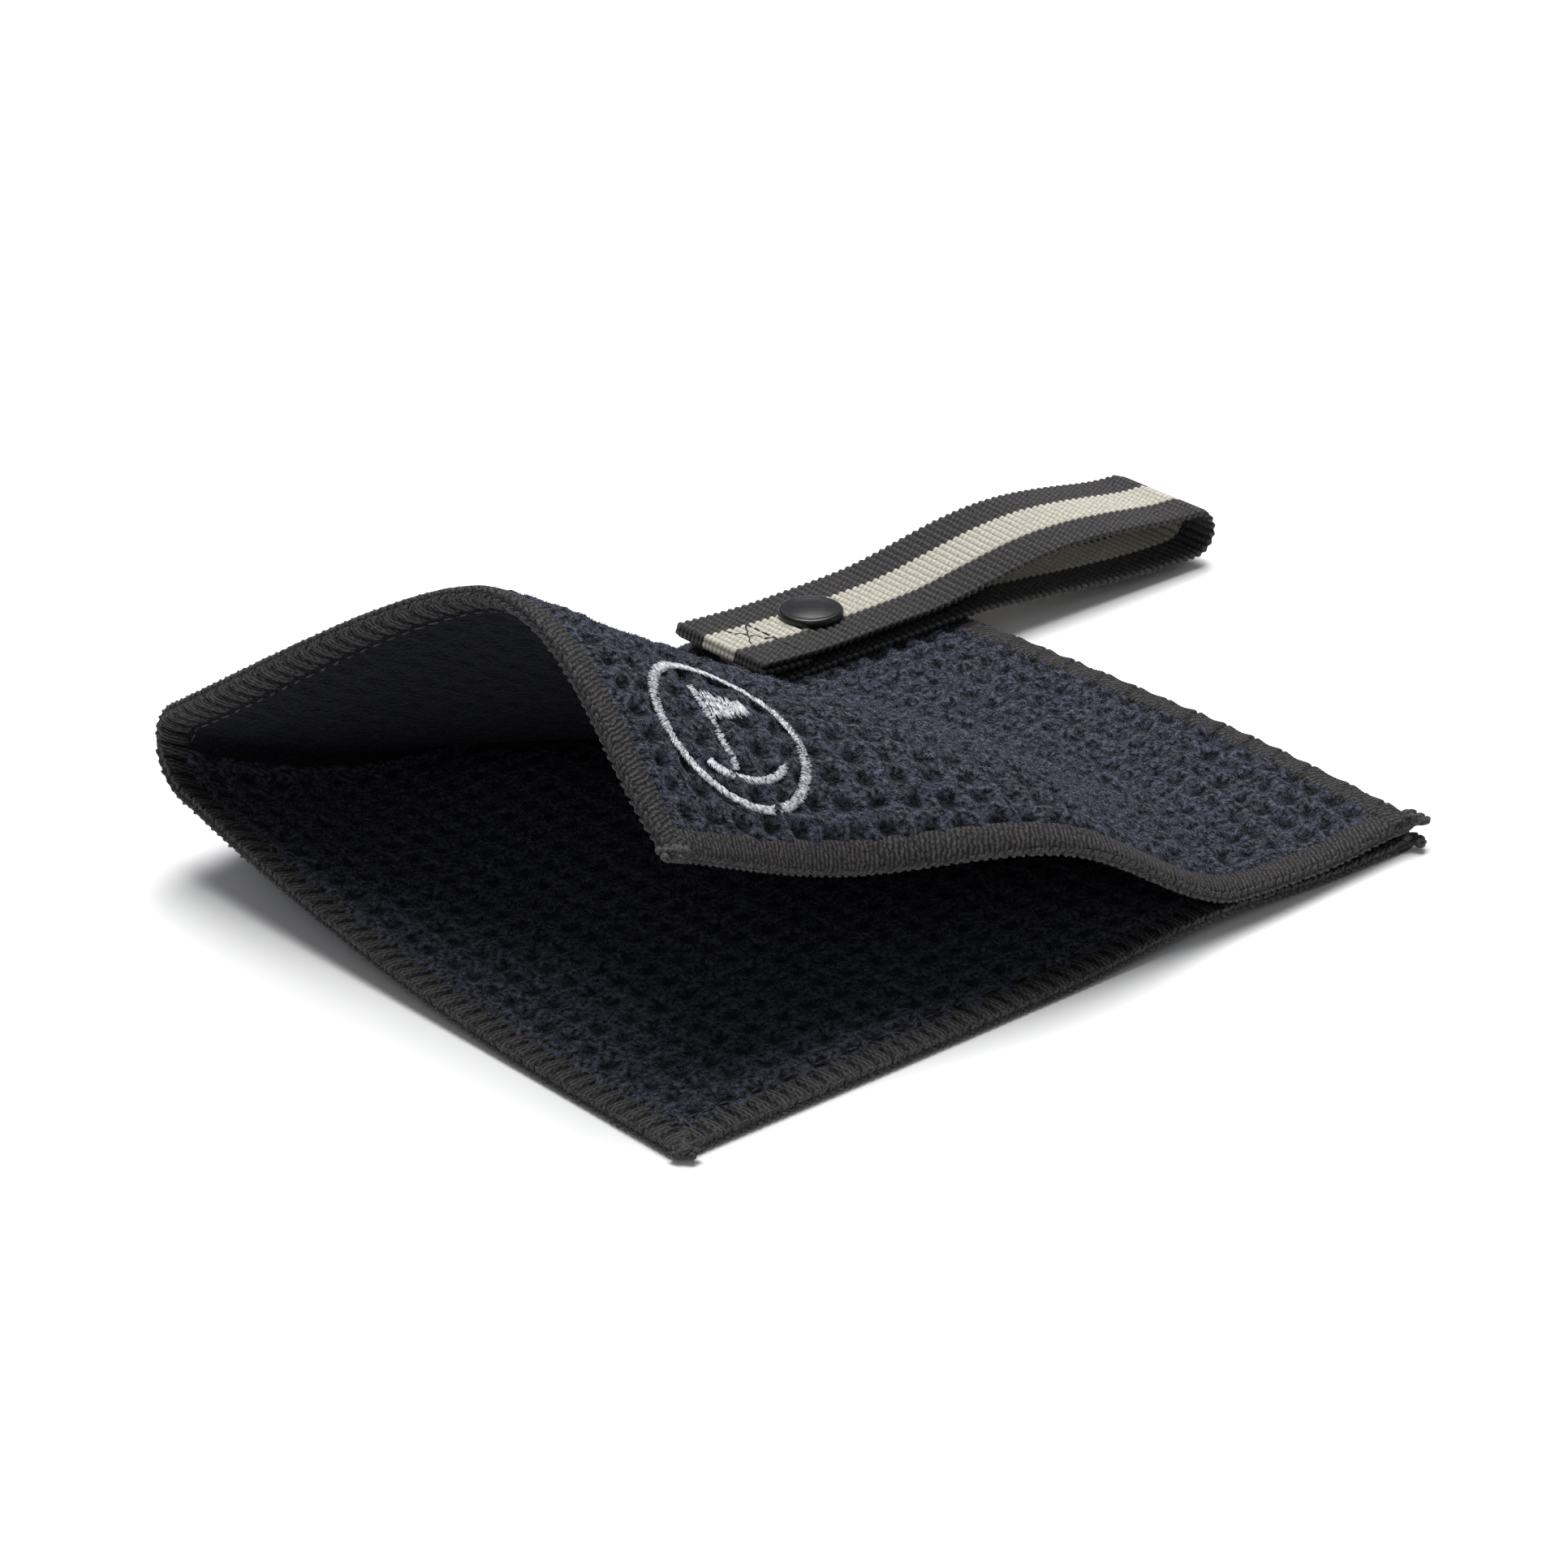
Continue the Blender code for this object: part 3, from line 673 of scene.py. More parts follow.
def joined(name, *pieces):
    """Several made meshes as one piece."""
    with bpy.context.temp_override(active_object=pieces[0], selected_editable_objects=list(pieces)):
        bpy.ops.object.join()
    pieces[0].name = name
    pieces[0].data.name = name
    return pieces[0]


# %% [markdown]
# ## The overlocked hem
# An overlock machine wraps thread round the raw edge: a smooth, close satin on the outer face, bundles of thread
# with a notch between them on the inner face, and a chain of little loops where they meet on the rim. The band is
# a closed tube with a flattened section, wide enough to hide the raw edge, and its bundles and creases are relief.

# %% Thread materials
overlock, tree, shader = blank(
    "black_polyester_overlock_thread", Roughness=0.66, IOR=1.5, Sheen_Weight=0.04, Sheen_Roughness=0.4,
    Specular_IOR_Level=0.16,
)
weave = weave_place(tree)
# Thread lies side by side at 0.7 mm, a little on the slant.
slant = add(tree, "ShaderNodeMapping", {"Vector": weave, "Rotation": (0, 0, radians(24))})
twill = add(tree, "ShaderNodeTexWave", {
    "Vector": slant.outputs["Vector"], "Scale": 0.314 * MM / 0.70,
    "Distortion": 4.5, "Detail": 2.0, "Detail Scale": 1.5,
}).outputs["Fac"]
fibre = noise(tree, weave, 0.50, 3.0, 0.75)
black = between(tree, fibre, "#080808", "#575456", 0.36, 0.68)
# Painted shade: the grooves of the slanted twill are darkened to about a fifth of the thread's colour.
toned = mix(tree, 1.0, black, between(tree, twill, "#7a7a7a", "#ffffff"), "MULTIPLY")
faded = mix(tree, noise(tree, weave, 4.0, 2.0), (0.8, 0.8, 0.8, 1), (1.25, 1.22, 1.22, 1))
# Painted shade darkens the notches between bundles and threads and the outer creases toward black, and a painted
# highlight lightens the tops of the inner threads.
sunk = mix(tree, carried(tree, "shade"), mix(tree, 1.0, toned, faded, "MULTIPLY"), tint("#040404"))
thread_with_painted_highlight = mix(tree, carried(tree, "crown_painted_highlight"), sunk, tint("#5c595a"))
fine = bump(tree, fibre, 0.7, 0.0001)
wire(tree, shader, Base_Color=thread_with_painted_highlight, Normal=bump(tree, twill, 0.6, 0.00013, Normal=fine))

loose_thread, tree, shader = blank(
    "black_polyester_thread", Roughness=0.6, IOR=1.5, Sheen_Weight=0.05, Specular_IOR_Level=0.2,
)
ply = noise(tree, object_place(tree), 0.3, 2.0)
black = between(tree, ply, "#121112", "#504e4f", 0.32, 0.72)
wire(tree, shader, Base_Color=black, Normal=bump(tree, ply, 0.6, 0.00008))

# %% Overlocked bands
BUNDLE = 0.00275
THREAD_PITCH = 0.00069
SLANT_PITCH = 0.00062
CREASE_PITCH = 0.0062
BAND_POINTS = 28
BAND_STEP = 0.00013
SWOLLEN_UNTIL = 0.080
SWOLLEN_FADE = 0.008


def tube_faces(stations, around):
    """Quads of a tube, ring after ring, and a cap at each end."""
    ring = np.arange(around)
    ahead = (ring + 1) % around
    rows = np.arange(stations - 1)[:, None] * around
    quads = np.stack((rows + ring, rows + ahead, rows + around + ahead, rows + around + ring), axis=-1)
    return quads.reshape(-1, 4).tolist() + [ring[::-1].tolist(), (ring + (stations - 1) * around).tolist()]


def edge_place(panel, where, run, inward, height=0.0):
    """A place on a hem: share along it, metres in from the rim, metres off the middle of the cloth."""
    if where == "front":
        return cloth_at(panel, TUCK + (WIDTH - 2 * TUCK) * run, inward, height)
    side = inward if where == "left" else WIDTH - inward
    return cloth_at(panel, side, run * seam_distance(panel, side), height)


def edge_length(panel, where):
    return WIDTH - 2 * TUCK if where == "front" else seam_distance(panel, 0.0 if where == "left" else WIDTH)


def overlock_band(name, panel, where, outer_up, puff, seed):
    """The wrapped tube of thread along one edge of one panel."""
    reach = float(edge_length(panel, where))
    stations = int(reach / BAND_STEP)
    run = np.linspace(0, 1, stations)[:, None]
    distance = run * reach
    angle = 2 * pi * np.arange(BAND_POINTS)[None, :] / BAND_POINTS
    flatness = 2 / 3.0
    across = np.sign(np.cos(angle)) * np.abs(np.cos(angle)) ** flatness
    rise = np.sign(np.sin(angle)) * np.abs(np.sin(angle)) ** flatness
    inward = HEM / 2 * (1 - across)
    outward_rise = rise * (1 if outer_up else -1)
    outer = np.clip(outward_rise * 3, 0, 1)
    inner = np.clip(-outward_rise * 3, 0, 1)
    # The inner face: bundles of thread with a notch between two of them.
    phase = distance + 0.0006 * unevenness(distance, distance * 0, 0.011, seed)
    bundle = np.abs(np.cos(pi * phase / BUNDLE)) ** 0.7
    strand = np.abs(np.cos(pi * (phase + 0.08 * inward) / THREAD_PITCH)) ** 0.7
    deep = 0.35 + 0.65 * smooth(inward / HEM * 1.4 - 0.2)
    inner_relief = 0.00055 * (bundle - 1) * deep + 0.00022 * (strand - 0.5)
    # The outer face: slanted thread, crossed by a crease now and then.
    crease_place = (phase + 0.35 * inward + 0.0015 * unevenness(distance, inward, 0.02, seed + 3)) / CREASE_PITCH
    crease = np.exp(-((crease_place - np.round(crease_place)) / 0.055) ** 2)
    crease = crease * (0.4 + 0.6 * np.abs(unevenness(distance, inward * 0, 0.006, seed + 4)))
    slanted = np.cos(2 * pi * (distance + 0.45 * inward) / SLANT_PITCH)
    lumps = unevenness(distance, inward, 0.002, seed + 5)
    outer_relief = -0.00022 * puff * crease + 0.00002 * slanted + 0.00005 * lumps
    outer_relief = outer_relief + 0.00012 * max(0.0, puff - 1) * np.cos(2 * pi * crease_place)
    rim = (1 - outer) * (1 - inner) * (across > 0)
    knot = 0.00012 * np.cos(2 * pi * phase / (BUNDLE / 2))
    relief = outer * outer_relief + inner * inner_relief + rim * knot
    swollen = 0.30 * max(0.0, puff - 1) * outer * (1 - smooth((distance - SWOLLEN_UNTIL) / SWOLLEN_FADE))
    half = CLOTH / 2 * ((1.14 if outer_up else 1.0) + swollen)
    inward = inward - across * relief * np.abs(across) ** 2
    height = rise * half + np.sign(rise) * relief * np.minimum(1, np.abs(rise) * 1.2)
    taper = 1 - 0.25 * np.exp(-distance / 0.0006)
    points = edge_place(panel, where, np.broadcast_to(run, inward.shape), inward, height * taper)
    around = np.broadcast_to(HEM * (1 - across) * 0.5 + (rise < 0) * HEM, inward.shape)
    uv = np.column_stack((np.broadcast_to(distance, inward.shape).ravel(), around.ravel()))
    # Painted shade for the notches between bundles and threads and for the outer creases, and a painted highlight on
    # the tops of the inner threads.
    between_threads = np.clip((1 - bundle) * 2.2 - 0.7, 0, 1) * deep + np.clip((1 - strand) * 1.6 - 0.7, 0, 1)
    sunk = inner * np.clip(between_threads, 0, 1) + outer * crease * 0.4 * puff
    crown_painted_highlight = inner * np.clip(strand * 2.0 - 1.1, 0, 1) * np.clip(bundle * 2 - 0.9, 0, 1) * 0.55
    marks = {"shade": np.clip(sunk, 0, 0.92).ravel(), "crown_painted_highlight": np.clip(crown_painted_highlight, 0, 0.7).ravel()}
    return closed_mesh(name, points.reshape(-1, 3), tube_faces(stations, BAND_POINTS), overlock, uv, marks)


def rim_chain(name, panel, where, outer_up, seed):
    """The braid of loops on the rim, and the needle thread along the inner border of the band."""
    reach = float(edge_length(panel, where))
    pitch = BUNDLE / 2
    step = 0.0005 / reach

    def at(run, inward, height=0.0):
        return edge_place(panel, where, run, inward, height)

    run = (np.arange(int(reach / pitch)) + 0.5) * pitch / reach
    rim = at(run, 0.0)
    ahead = unit(at(run + step, 0.0) - at(run - step, 0.0))
    upward = unit(at(run, 0.0, 0.001) - rim)
    away = unit(rim - at(run, 0.001))
    inner = -1 if outer_up else 1
    rows = []
    for label, inward, height, lean in (("a", 0.00012, 0.00052, 0.55), ("b", 0.00012, -0.0004, -0.55)):
        rows.append(stitches(
            name + label, at(run, inward, inner * height), ahead + lean * inner * upward, away,
            loose_thread, pitch * 1.18, 0.00062, 0.00058, 0.25, 0.15, seed,
        ))
    needle = (np.arange(int(reach / BUNDLE)) + 0.5) * BUNDLE / reach
    along = at(needle + step, HEM) - at(needle - step, HEM)
    off = at(needle, HEM, 0.001) - at(needle, HEM)
    rows.append(stitches(
        name + "c", at(needle, HEM + 0.0001, inner * (CLOTH / 2 + 0.00015)), along, off,
        loose_thread, BUNDLE * 0.72, 0.00034, 0.0003, 0.2, 0.1, seed + 1,
    ))
    return joined(name, *rows)


SOFT_HEM = 0.45
SWOLLEN_HEM = 2.2
hems = {}
for label, panel, outer_up in (("lower", LOWER, False), ("upper", UPPER, True)):
    for number, where in enumerate(("left", "front", "right")):
        puff = SWOLLEN_HEM if (label, where) == ("upper", "right") else SOFT_HEM
        key = label + "_" + where
        seed = 40 + 7 * number + (50 if outer_up else 0)
        hems[key] = (
            overlock_band(key + "_band", panel, where, outer_up, puff, seed),
            rim_chain(key + "_chain", panel, where, outer_up, seed + 2),
        )
print(len(hems), "hems")

# %% [markdown]
# ## Thread ends
# The machine runs off each corner and leaves a short tuft of its own chain. A tuft is forty short lengths of thread
# that start at the corner, spread a little round one heading and close up toward the tip.

# %% Corner tufts
TUFT_THREADS = 40
TUFT_INSET = 0.0009
TUFT_SPREAD = (0.00070, 0.00070, 0.00042)


def tuft(name, panel, side, heading, length, seed):
    rng = np.random.default_rng(seed)
    heading = np.array(heading, dtype=float)
    heading /= np.linalg.norm(heading)
    corner = cloth_at(panel, np.float64(abs(side - TUFT_INSET)), np.float64(TUFT_INSET))
    spread = rng.normal(0, 0.26, (TUFT_THREADS, 3)) * (1, 1, 0.5)
    along = unit(heading + spread * np.linspace(1.3, 0.35, TUFT_THREADS)[:, None])
    reach = np.linspace(0.0, 0.42, TUFT_THREADS)[:, None] * length
    root = rng.normal(0, 1, (TUFT_THREADS, 3)) * TUFT_SPREAD * np.linspace(1.2, 0.35, TUFT_THREADS)[:, None]
    root[:, 2] = np.abs(root[:, 2])
    return stitches(
        name, corner + heading * reach + root, along, (0, 0, 1), loose_thread,
        0.0020, 0.00120, 0.00110, 0.3, 0.25, seed,
    )


tufts_made = {
    "lower_left": tuft("lower_left_tuft", LOWER, 0.0, (0.25, -1.0, 0.0), 0.0034, 3),
    "lower_right": tuft("lower_right_tuft", LOWER, WIDTH, (0.9, -0.6, 0.0), 0.0042, 4),
    "upper_left": tuft("upper_left_tuft", UPPER, 0.0, (-0.5, -0.9, 0.0), 0.0030, 5),
    "upper_right": tuft("upper_right_tuft", UPPER, WIDTH, (1.0, -0.35, -0.10), 0.0064, 6),
}

# %% [markdown]
# ## The embroidery
# Satin stitch lays bright rayon thread side by side across a narrow band, so each stroke looks brushed, with ends
# that stray a little into the pile. The mark is a ring round a plain pin flag, worked on the raised corner.

# %% Embroidery
rayon, tree, shader = blank(
    "silver_rayon_embroidery", Roughness=0.38, IOR=1.47, Sheen_Weight=0.2, Specular_IOR_Level=0.7, Anisotropic=0.3,
)
ply = noise(tree, object_place(tree), 0.5, 2.0, 0.6)
# Partly the thread's silver and partly painted shade and glints: the colour swings at random from dark grey to near
# white in patches about 0.5 mm across.
silver_and_painted_shade = between(tree, ply, "#4c4e58", "#dddfe6", 0.30, 0.66)
wire(tree, shader, Base_Color=silver_and_painted_shade, Normal=bump(tree, ply, 0.4, 0.00006))

EMBLEM_FROM_SIDE = 0.0235
EMBLEM_FROM_HEM = 0.0203
EMBLEM_RADIUS = 0.0122
EMBLEM_HEIGHT = CLOTH / 2 + 0.00062
SATIN_WIDTH = 0.00019
STRAY = 0.00006


def satin(name, right, up, lean, length, seed):
    """Threads centred at places on the emblem, each lying at its own angle."""
    rng = np.random.default_rng(seed)
    right = right + rng.normal(0, STRAY, right.shape)
    up = up + rng.normal(0, STRAY, up.shape)
    side = EMBLEM_FROM_SIDE + right
    from_hem = EMBLEM_FROM_HEM + up
    step = 0.0004
    height = EMBLEM_HEIGHT + rng.uniform(-STRAY, 0.00010, right.shape)
    here = cloth_at(UPPER, side, from_hem, height)
    there = cloth_at(UPPER, side + step * np.cos(lean), from_hem + step * np.sin(lean), height)
    out = cloth_at(UPPER, side, from_hem, height + 0.001) - here
    return stitches(name, here, there - here, out, rayon, length, SATIN_WIDTH, SATIN_WIDTH * 0.9, 0.42, 0.45, seed)


around = np.linspace(0, 2 * pi, 520, endpoint=False)
around = np.concatenate((around, around + 0.006))
ring_satin = satin(
    "ring_satin", EMBLEM_RADIUS * np.cos(around), EMBLEM_RADIUS * np.sin(around), around + 0.35, 0.0016, 7,
)
climb = np.repeat(np.linspace(-0.0062, 0.0078, 74), 2)
pole_satin = satin("pole_satin", np.full(climb.shape, -0.0022), climb, np.full(climb.shape, 0.25), 0.0014, 8)
out_along, row = np.meshgrid(np.linspace(0.0, 0.0074, 44), np.linspace(-1, 1, 3), indexing="ij")
half = 0.0028 * (1 - 0.85 * out_along / 0.0078)
flag_satin = satin(
    "flag_satin", (-0.0013 + out_along).ravel(), (0.0046 + half * row * 0.62).ravel(),
    np.full(out_along.size, pi / 2 - 0.2), 0.0021, 9,
)
sweep = np.repeat(pi * np.linspace(1.08, 1.92, 86), 2)
green_satin = satin(
    "green_satin", 0.0072 * np.cos(sweep), -0.0044 + 0.0034 * np.sin(sweep), sweep + 0.3, 0.0015, 10,
)

# %% [markdown]
# ## The webbing strap
# Narrow nylon webbing is woven with a heavy rib across it every 1.4 mm, and a light stripe runs down its middle. One
# leg is sewn to the towel, the other turns back over it and ends in a tab folded under. Each leg is a flat tube swept
# along its side view, and the ribs are part of the sweep, so they also notch the selvedge as woven ones do.

# %% Webbing material
STRAP_WIDTH = 0.0200
STRIPE_WIDTH = 0.0070
RIB = 0.0014
WARP = 0.00085
STRIPE_BLUR = 0.00012

webbing, tree, shader = blank(
    "ribbed_nylon_webbing", Roughness=0.6, IOR=1.53, Sheen_Weight=0.03, Specular_IOR_Level=0.2,
)
weave = weave_place(tree)
parts = add(tree, "ShaderNodeSeparateXYZ", {"Vector": weave}).outputs
wander = maths(tree, "MULTIPLY_ADD", noise(tree, weave, 1.2, 2.0), 0.0004, parts["X"])
apart = maths(tree, "ABSOLUTE", maths(tree, "SUBTRACT", wander, STRAP_WIDTH / 2 + 0.0002))
in_stripe = span(tree, apart, STRIPE_WIDTH / 2 - STRIPE_BLUR, STRIPE_WIDTH / 2 + STRIPE_BLUR, 1.0, 0.0)
yarn = noise(tree, weave, 0.45, 3.0, 0.65)
dark = between(tree, yarn, "#161516", "#524f50", 0.30, 0.72)
light = between(tree, yarn, "#a39f93", "#d6d3c6", 0.30, 0.72)
dyed = mix(tree, in_stripe, dark, light)
# Warp ends show as short upright marks on each rib, and the hollow between two ribs gets painted shade: darker
# between warp ends and between ribs, far darker on the black than on the stripe.
warps = maths(tree, "ABSOLUTE", maths(tree, "SINE", maths(tree, "MULTIPLY", parts["X"], pi / WARP)))
ribs = maths(tree, "ABSOLUTE", maths(tree, "COSINE", maths(tree, "MULTIPLY", parts["Y"], pi / RIB)))
rib_painted_shade_mask = maths(tree, "MULTIPLY", span(tree, warps, 0.0, 0.6, 0.60, 1.0), span(tree, ribs, 0.15, 0.70, 0.0, 1.0))
rib_gap_painted_shade = mix(tree, in_stripe, (0.12, 0.12, 0.12, 1), (0.50, 0.49, 0.47, 1))
final = mix(tree, 1.0, dyed, mix(tree, rib_painted_shade_mask, rib_gap_painted_shade, (1, 1, 1, 1)), "MULTIPLY")
fuzz = bump(tree, yarn, 0.5, 0.00006)
wire(tree, shader, Base_Color=final, Normal=bump(tree, warps, 0.7, 0.00026, Normal=fuzz))

# %% Side views of the strap
STRAP_THICK = 0.0009
STRAP_CENTRE = 0.0436
STRAP_ON_TOWEL = 0.0064
SEWN_LEG = (
    (0.0280, STRAP_ON_TOWEL), (0.0520, STRAP_ON_TOWEL), (0.0690, STRAP_ON_TOWEL), (0.0830, 0.0050),
    (0.0980, 0.0033), (0.1090, 0.0025), (0.1155, 0.0024),
)
FREE_LEG = (
    (0.0255, 0.0101), (0.0320, 0.0096), (0.0380, 0.0093), (0.0480, 0.0093),
    (0.0580, 0.0094), (0.0700, 0.0098), (0.0850, 0.0102), (0.1020, 0.0101),
    (0.1155, 0.0094),
)
STRAP_TWIST = 0.0005
TURN_X = 0.1155
TURN_Z = (SEWN_LEG[-1][1] + FREE_LEG[-1][1]) / 2
TURN_RADIUS = (FREE_LEG[-1][1] - SEWN_LEG[-1][1]) / 2
TAB_HEM_LENGTH = 0.0090
SNAP_X = 0.0430
CAP_RADIUS = 0.0050


def spaced(points, share):
    """Smooth height through unevenly spaced stations."""
    xs = np.array([point[0] for point in points])
    zs = np.array([point[1] for point in points])
    slopes = np.gradient(zs, xs)
    slopes[0] = (zs[1] - zs[0]) / (xs[1] - xs[0])
    slopes[-1] = 0.0
    x = xs[0] + (xs[-1] - xs[0]) * share
    k = min(max(int(np.searchsorted(xs, x)) - 1, 0), len(xs) - 2)
    run = xs[k + 1] - xs[k]
    return x, hermite(zs[k], zs[k + 1], slopes[k] * run, slopes[k + 1] * run, (x - xs[k]) / run)


def turn_of_loop(first, last):
    angles = np.linspace(first, last, 14)[1:]
    return [(TURN_X + TURN_RADIUS * cos(angle), TURN_Z + TURN_RADIUS * sin(angle)) for angle in angles]


sewn_line = np.array([spaced(SEWN_LEG, step / 120) for step in range(121)] + turn_of_loop(-pi / 2, 0.0))
tab_x, tab_z = FREE_LEG[0]
fold_back = (STRAP_THICK + GAP) / 2
under = [spaced(FREE_LEG, TAB_HEM_LENGTH * (1 - step / 12) / (TURN_X - tab_x)) for step in range(12)]
under = [(x, z - 2 * fold_back) for x, z in under]
round_tab = [
    (tab_x - fold_back * 0.8 * sin(angle), tab_z - fold_back - fold_back * cos(angle))
    for angle in np.linspace(0.0, pi, 9)
]
over = [spaced(FREE_LEG, step / 130) for step in range(1, 131)]
free_line = np.array(under + round_tab + over + turn_of_loop(pi / 2, -0.03))
# The doubled leg keeps a soft wave past the snap.
WAVE_HEIGHT = 0.0022
WAVE_START = 0.0560
along_wave = np.clip((free_line[:, 0] - WAVE_START) / (TURN_X - WAVE_START), 0, 1)
free_line[:, 1] += WAVE_HEIGHT * np.sin(pi * along_wave) ** 2 * (free_line[:, 1] > TURN_Z)
for label, line in (("sewn", sewn_line), ("free", free_line)):
    print(label, "leg along its middle line, mm:", round(run_along(line)[-1] * MM, 1))

# %% Webbing legs
LEG_STEP = 0.000155
RIB_DEPTH = 0.00038
BETWEEN_RIBS = 0.00026
FACE_POINTS = 44
SELVEDGE_ROUND = 0.0011
TWIST_FADE = 0.03


def strap_leg(name, line, twist, rib_start):
    """A leg of ribbed webbing swept along its side view."""
    run = run_along(line)
    stations = int(run[-1] / LEG_STEP)
    distance = np.linspace(0, run[-1], stations)
    x = np.interp(distance, run, line[:, 0])
    z = np.interp(distance, run, line[:, 1])
    smoothing = np.hanning(9) / np.hanning(9).sum()
    for values in (x, z):
        values[4:-4] = np.convolve(values, smoothing, "valid")
    heading = unit(np.stack((np.gradient(x), np.gradient(z)), axis=1))
    rib = 0.5 + 0.5 * np.cos(2 * pi * (distance + rib_start) / RIB)
    half = STRAP_WIDTH / 2
    flat = np.concatenate(([-half], np.linspace(-half + 0.00018, half - 0.00018, FACE_POINTS), [half]))
    section_y = np.concatenate((flat, flat[-2:0:-1]))
    rise = np.concatenate(([0.0], np.ones(FACE_POINTS), [0.0], -np.ones(FACE_POINTS)))
    edge = smooth((half - np.abs(section_y)) / SELVEDGE_ROUND)
    count = len(section_y)
    thick = (BETWEEN_RIBS + RIB_DEPTH * rib[:, None] ** 0.8) * (0.62 + 0.38 * edge)[None, :]
    selvedge = 1 + 0.022 * rib[:, None] * (1 - edge)[None, :]
    y = section_y[None, :] * selvedge
    lifted = twist * smooth((x - SNAP_X - CAP_RADIUS) / TWIST_FADE) * smooth((TURN_X - x) / TWIST_FADE)
    height = thick * rise[None, :]
    place = np.empty((stations, count, 3))
    place[..., 0] = x[:, None] - heading[:, 1:2] * height
    place[..., 1] = STRAP_CENTRE + y
    place[..., 2] = z[:, None] + heading[:, 0:1] * height + lifted[:, None] * section_y[None, :] / half
    uv = np.column_stack((
        np.broadcast_to(section_y + half, (stations, count)).ravel(),
        np.broadcast_to((distance + rib_start)[:, None], (stations, count)).ravel(),
    ))
    return closed_mesh(name, place.reshape(-1, 3), tube_faces(stations, count), webbing, uv)


sewn_leg = strap_leg("sewn_leg_webbing", sewn_line, 0.0, 0.0)
free_leg = strap_leg("free_leg_webbing", free_line, STRAP_TWIST, 0.0004)

# %% [markdown]
# The folded end of the tab is caught down with a crossed row of black thread, and the lower leg is sewn to the towel
# with a short box of stitches, which shows only when the strap is opened.

# %% Strap stitches
STRAP_STITCH_PITCH = 0.0019
STITCH_LIFT = 0.00006


def strap_row(name, start, end, height, length, seed):
    """A straight row of stitches on a strap leg, between two (x, y) places."""
    start, end = np.array(start), np.array(end)
    count = max(2, int(np.linalg.norm(end - start) / STRAP_STITCH_PITCH))
    share = (np.arange(count) + 0.5)[:, None] / count
    flat = start + (end - start) * share
    tall = np.array([height(x) for x in flat[:, 0]])
    heading = np.append(end - start, 0.0)
    return stitches(
        name, np.column_stack((flat, tall)), heading / np.linalg.norm(heading), (0, 0, 1), loose_thread,
        length, 0.00042, 0.00036, 0.12, 0.08, seed,
    )


def free_leg_height(x):
    return spaced(FREE_LEG, (x - tab_x) / (TURN_X - tab_x))[1]


def over_tab(x):
    return free_leg_height(x) + STRAP_THICK / 2 + STITCH_LIFT


def over_sewn(x):
    return STRAP_ON_TOWEL + STRAP_THICK / 2 + STITCH_LIFT


def corners_of(xs, ys):
    return [(x, y) for x in xs for y in ys]


cross_x = tab_x + TAB_HEM_LENGTH / 2 + 0.0006
cross = corners_of((cross_x - 0.0026, cross_x + 0.0026), (STRAP_CENTRE - 0.0037, STRAP_CENTRE + 0.0037))
line_start, line_end = corners_of((cross_x + 0.0026,), (STRAP_CENTRE - 0.0082, STRAP_CENTRE + 0.0082))
tab_cross = joined(
    "tab_cross_stitches",
    strap_row("tab_a", cross[0], cross[3], over_tab, 0.0021, 21),
    strap_row("tab_b", cross[1], cross[2], over_tab, 0.0021, 22),
    strap_row("tab_c", line_start, line_end, over_tab, 0.0017, 23),
)
box = corners_of((0.0545, 0.0655), (STRAP_CENTRE - 0.0080, STRAP_CENTRE + 0.0080))
sewn_box = joined("sewn_leg_box_stitches", *(
    strap_row("box_" + str(number), box[first], box[last], over_sewn, 0.0017, 30 + number)
    for number, (first, last) in enumerate(((0, 1), (2, 3), (0, 2), (1, 3), (0, 3), (1, 2)))
))

# %% [markdown]
# ## The ring snap
# A snap is pressed from thin brass and stove-enamelled black. The cap is a shallow dome with a rolled rim that
# catches one soft highlight. Each part is turned: its half section goes once round an upright axis.

# %% Snap
enamel, tree, shader = blank(
    "black_stove_enamel_on_brass", Roughness=0.32, IOR=1.5, Coat_Weight=0.15, Coat_Roughness=0.22,
    Specular_IOR_Level=0.4,
)
orange_peel = noise(tree, object_place(tree), 0.7, 2.0)
wire(
    tree, shader, Base_Color=between(tree, orange_peel, "#0c0c0e", "#18181b"),
    Roughness=span(tree, orange_peel, 0.0, 1.0, 0.24, 0.40), Normal=bump(tree, orange_peel, 0.25, 0.00003),
)
CAP_HEIGHT = 0.0019
TURNS = 72


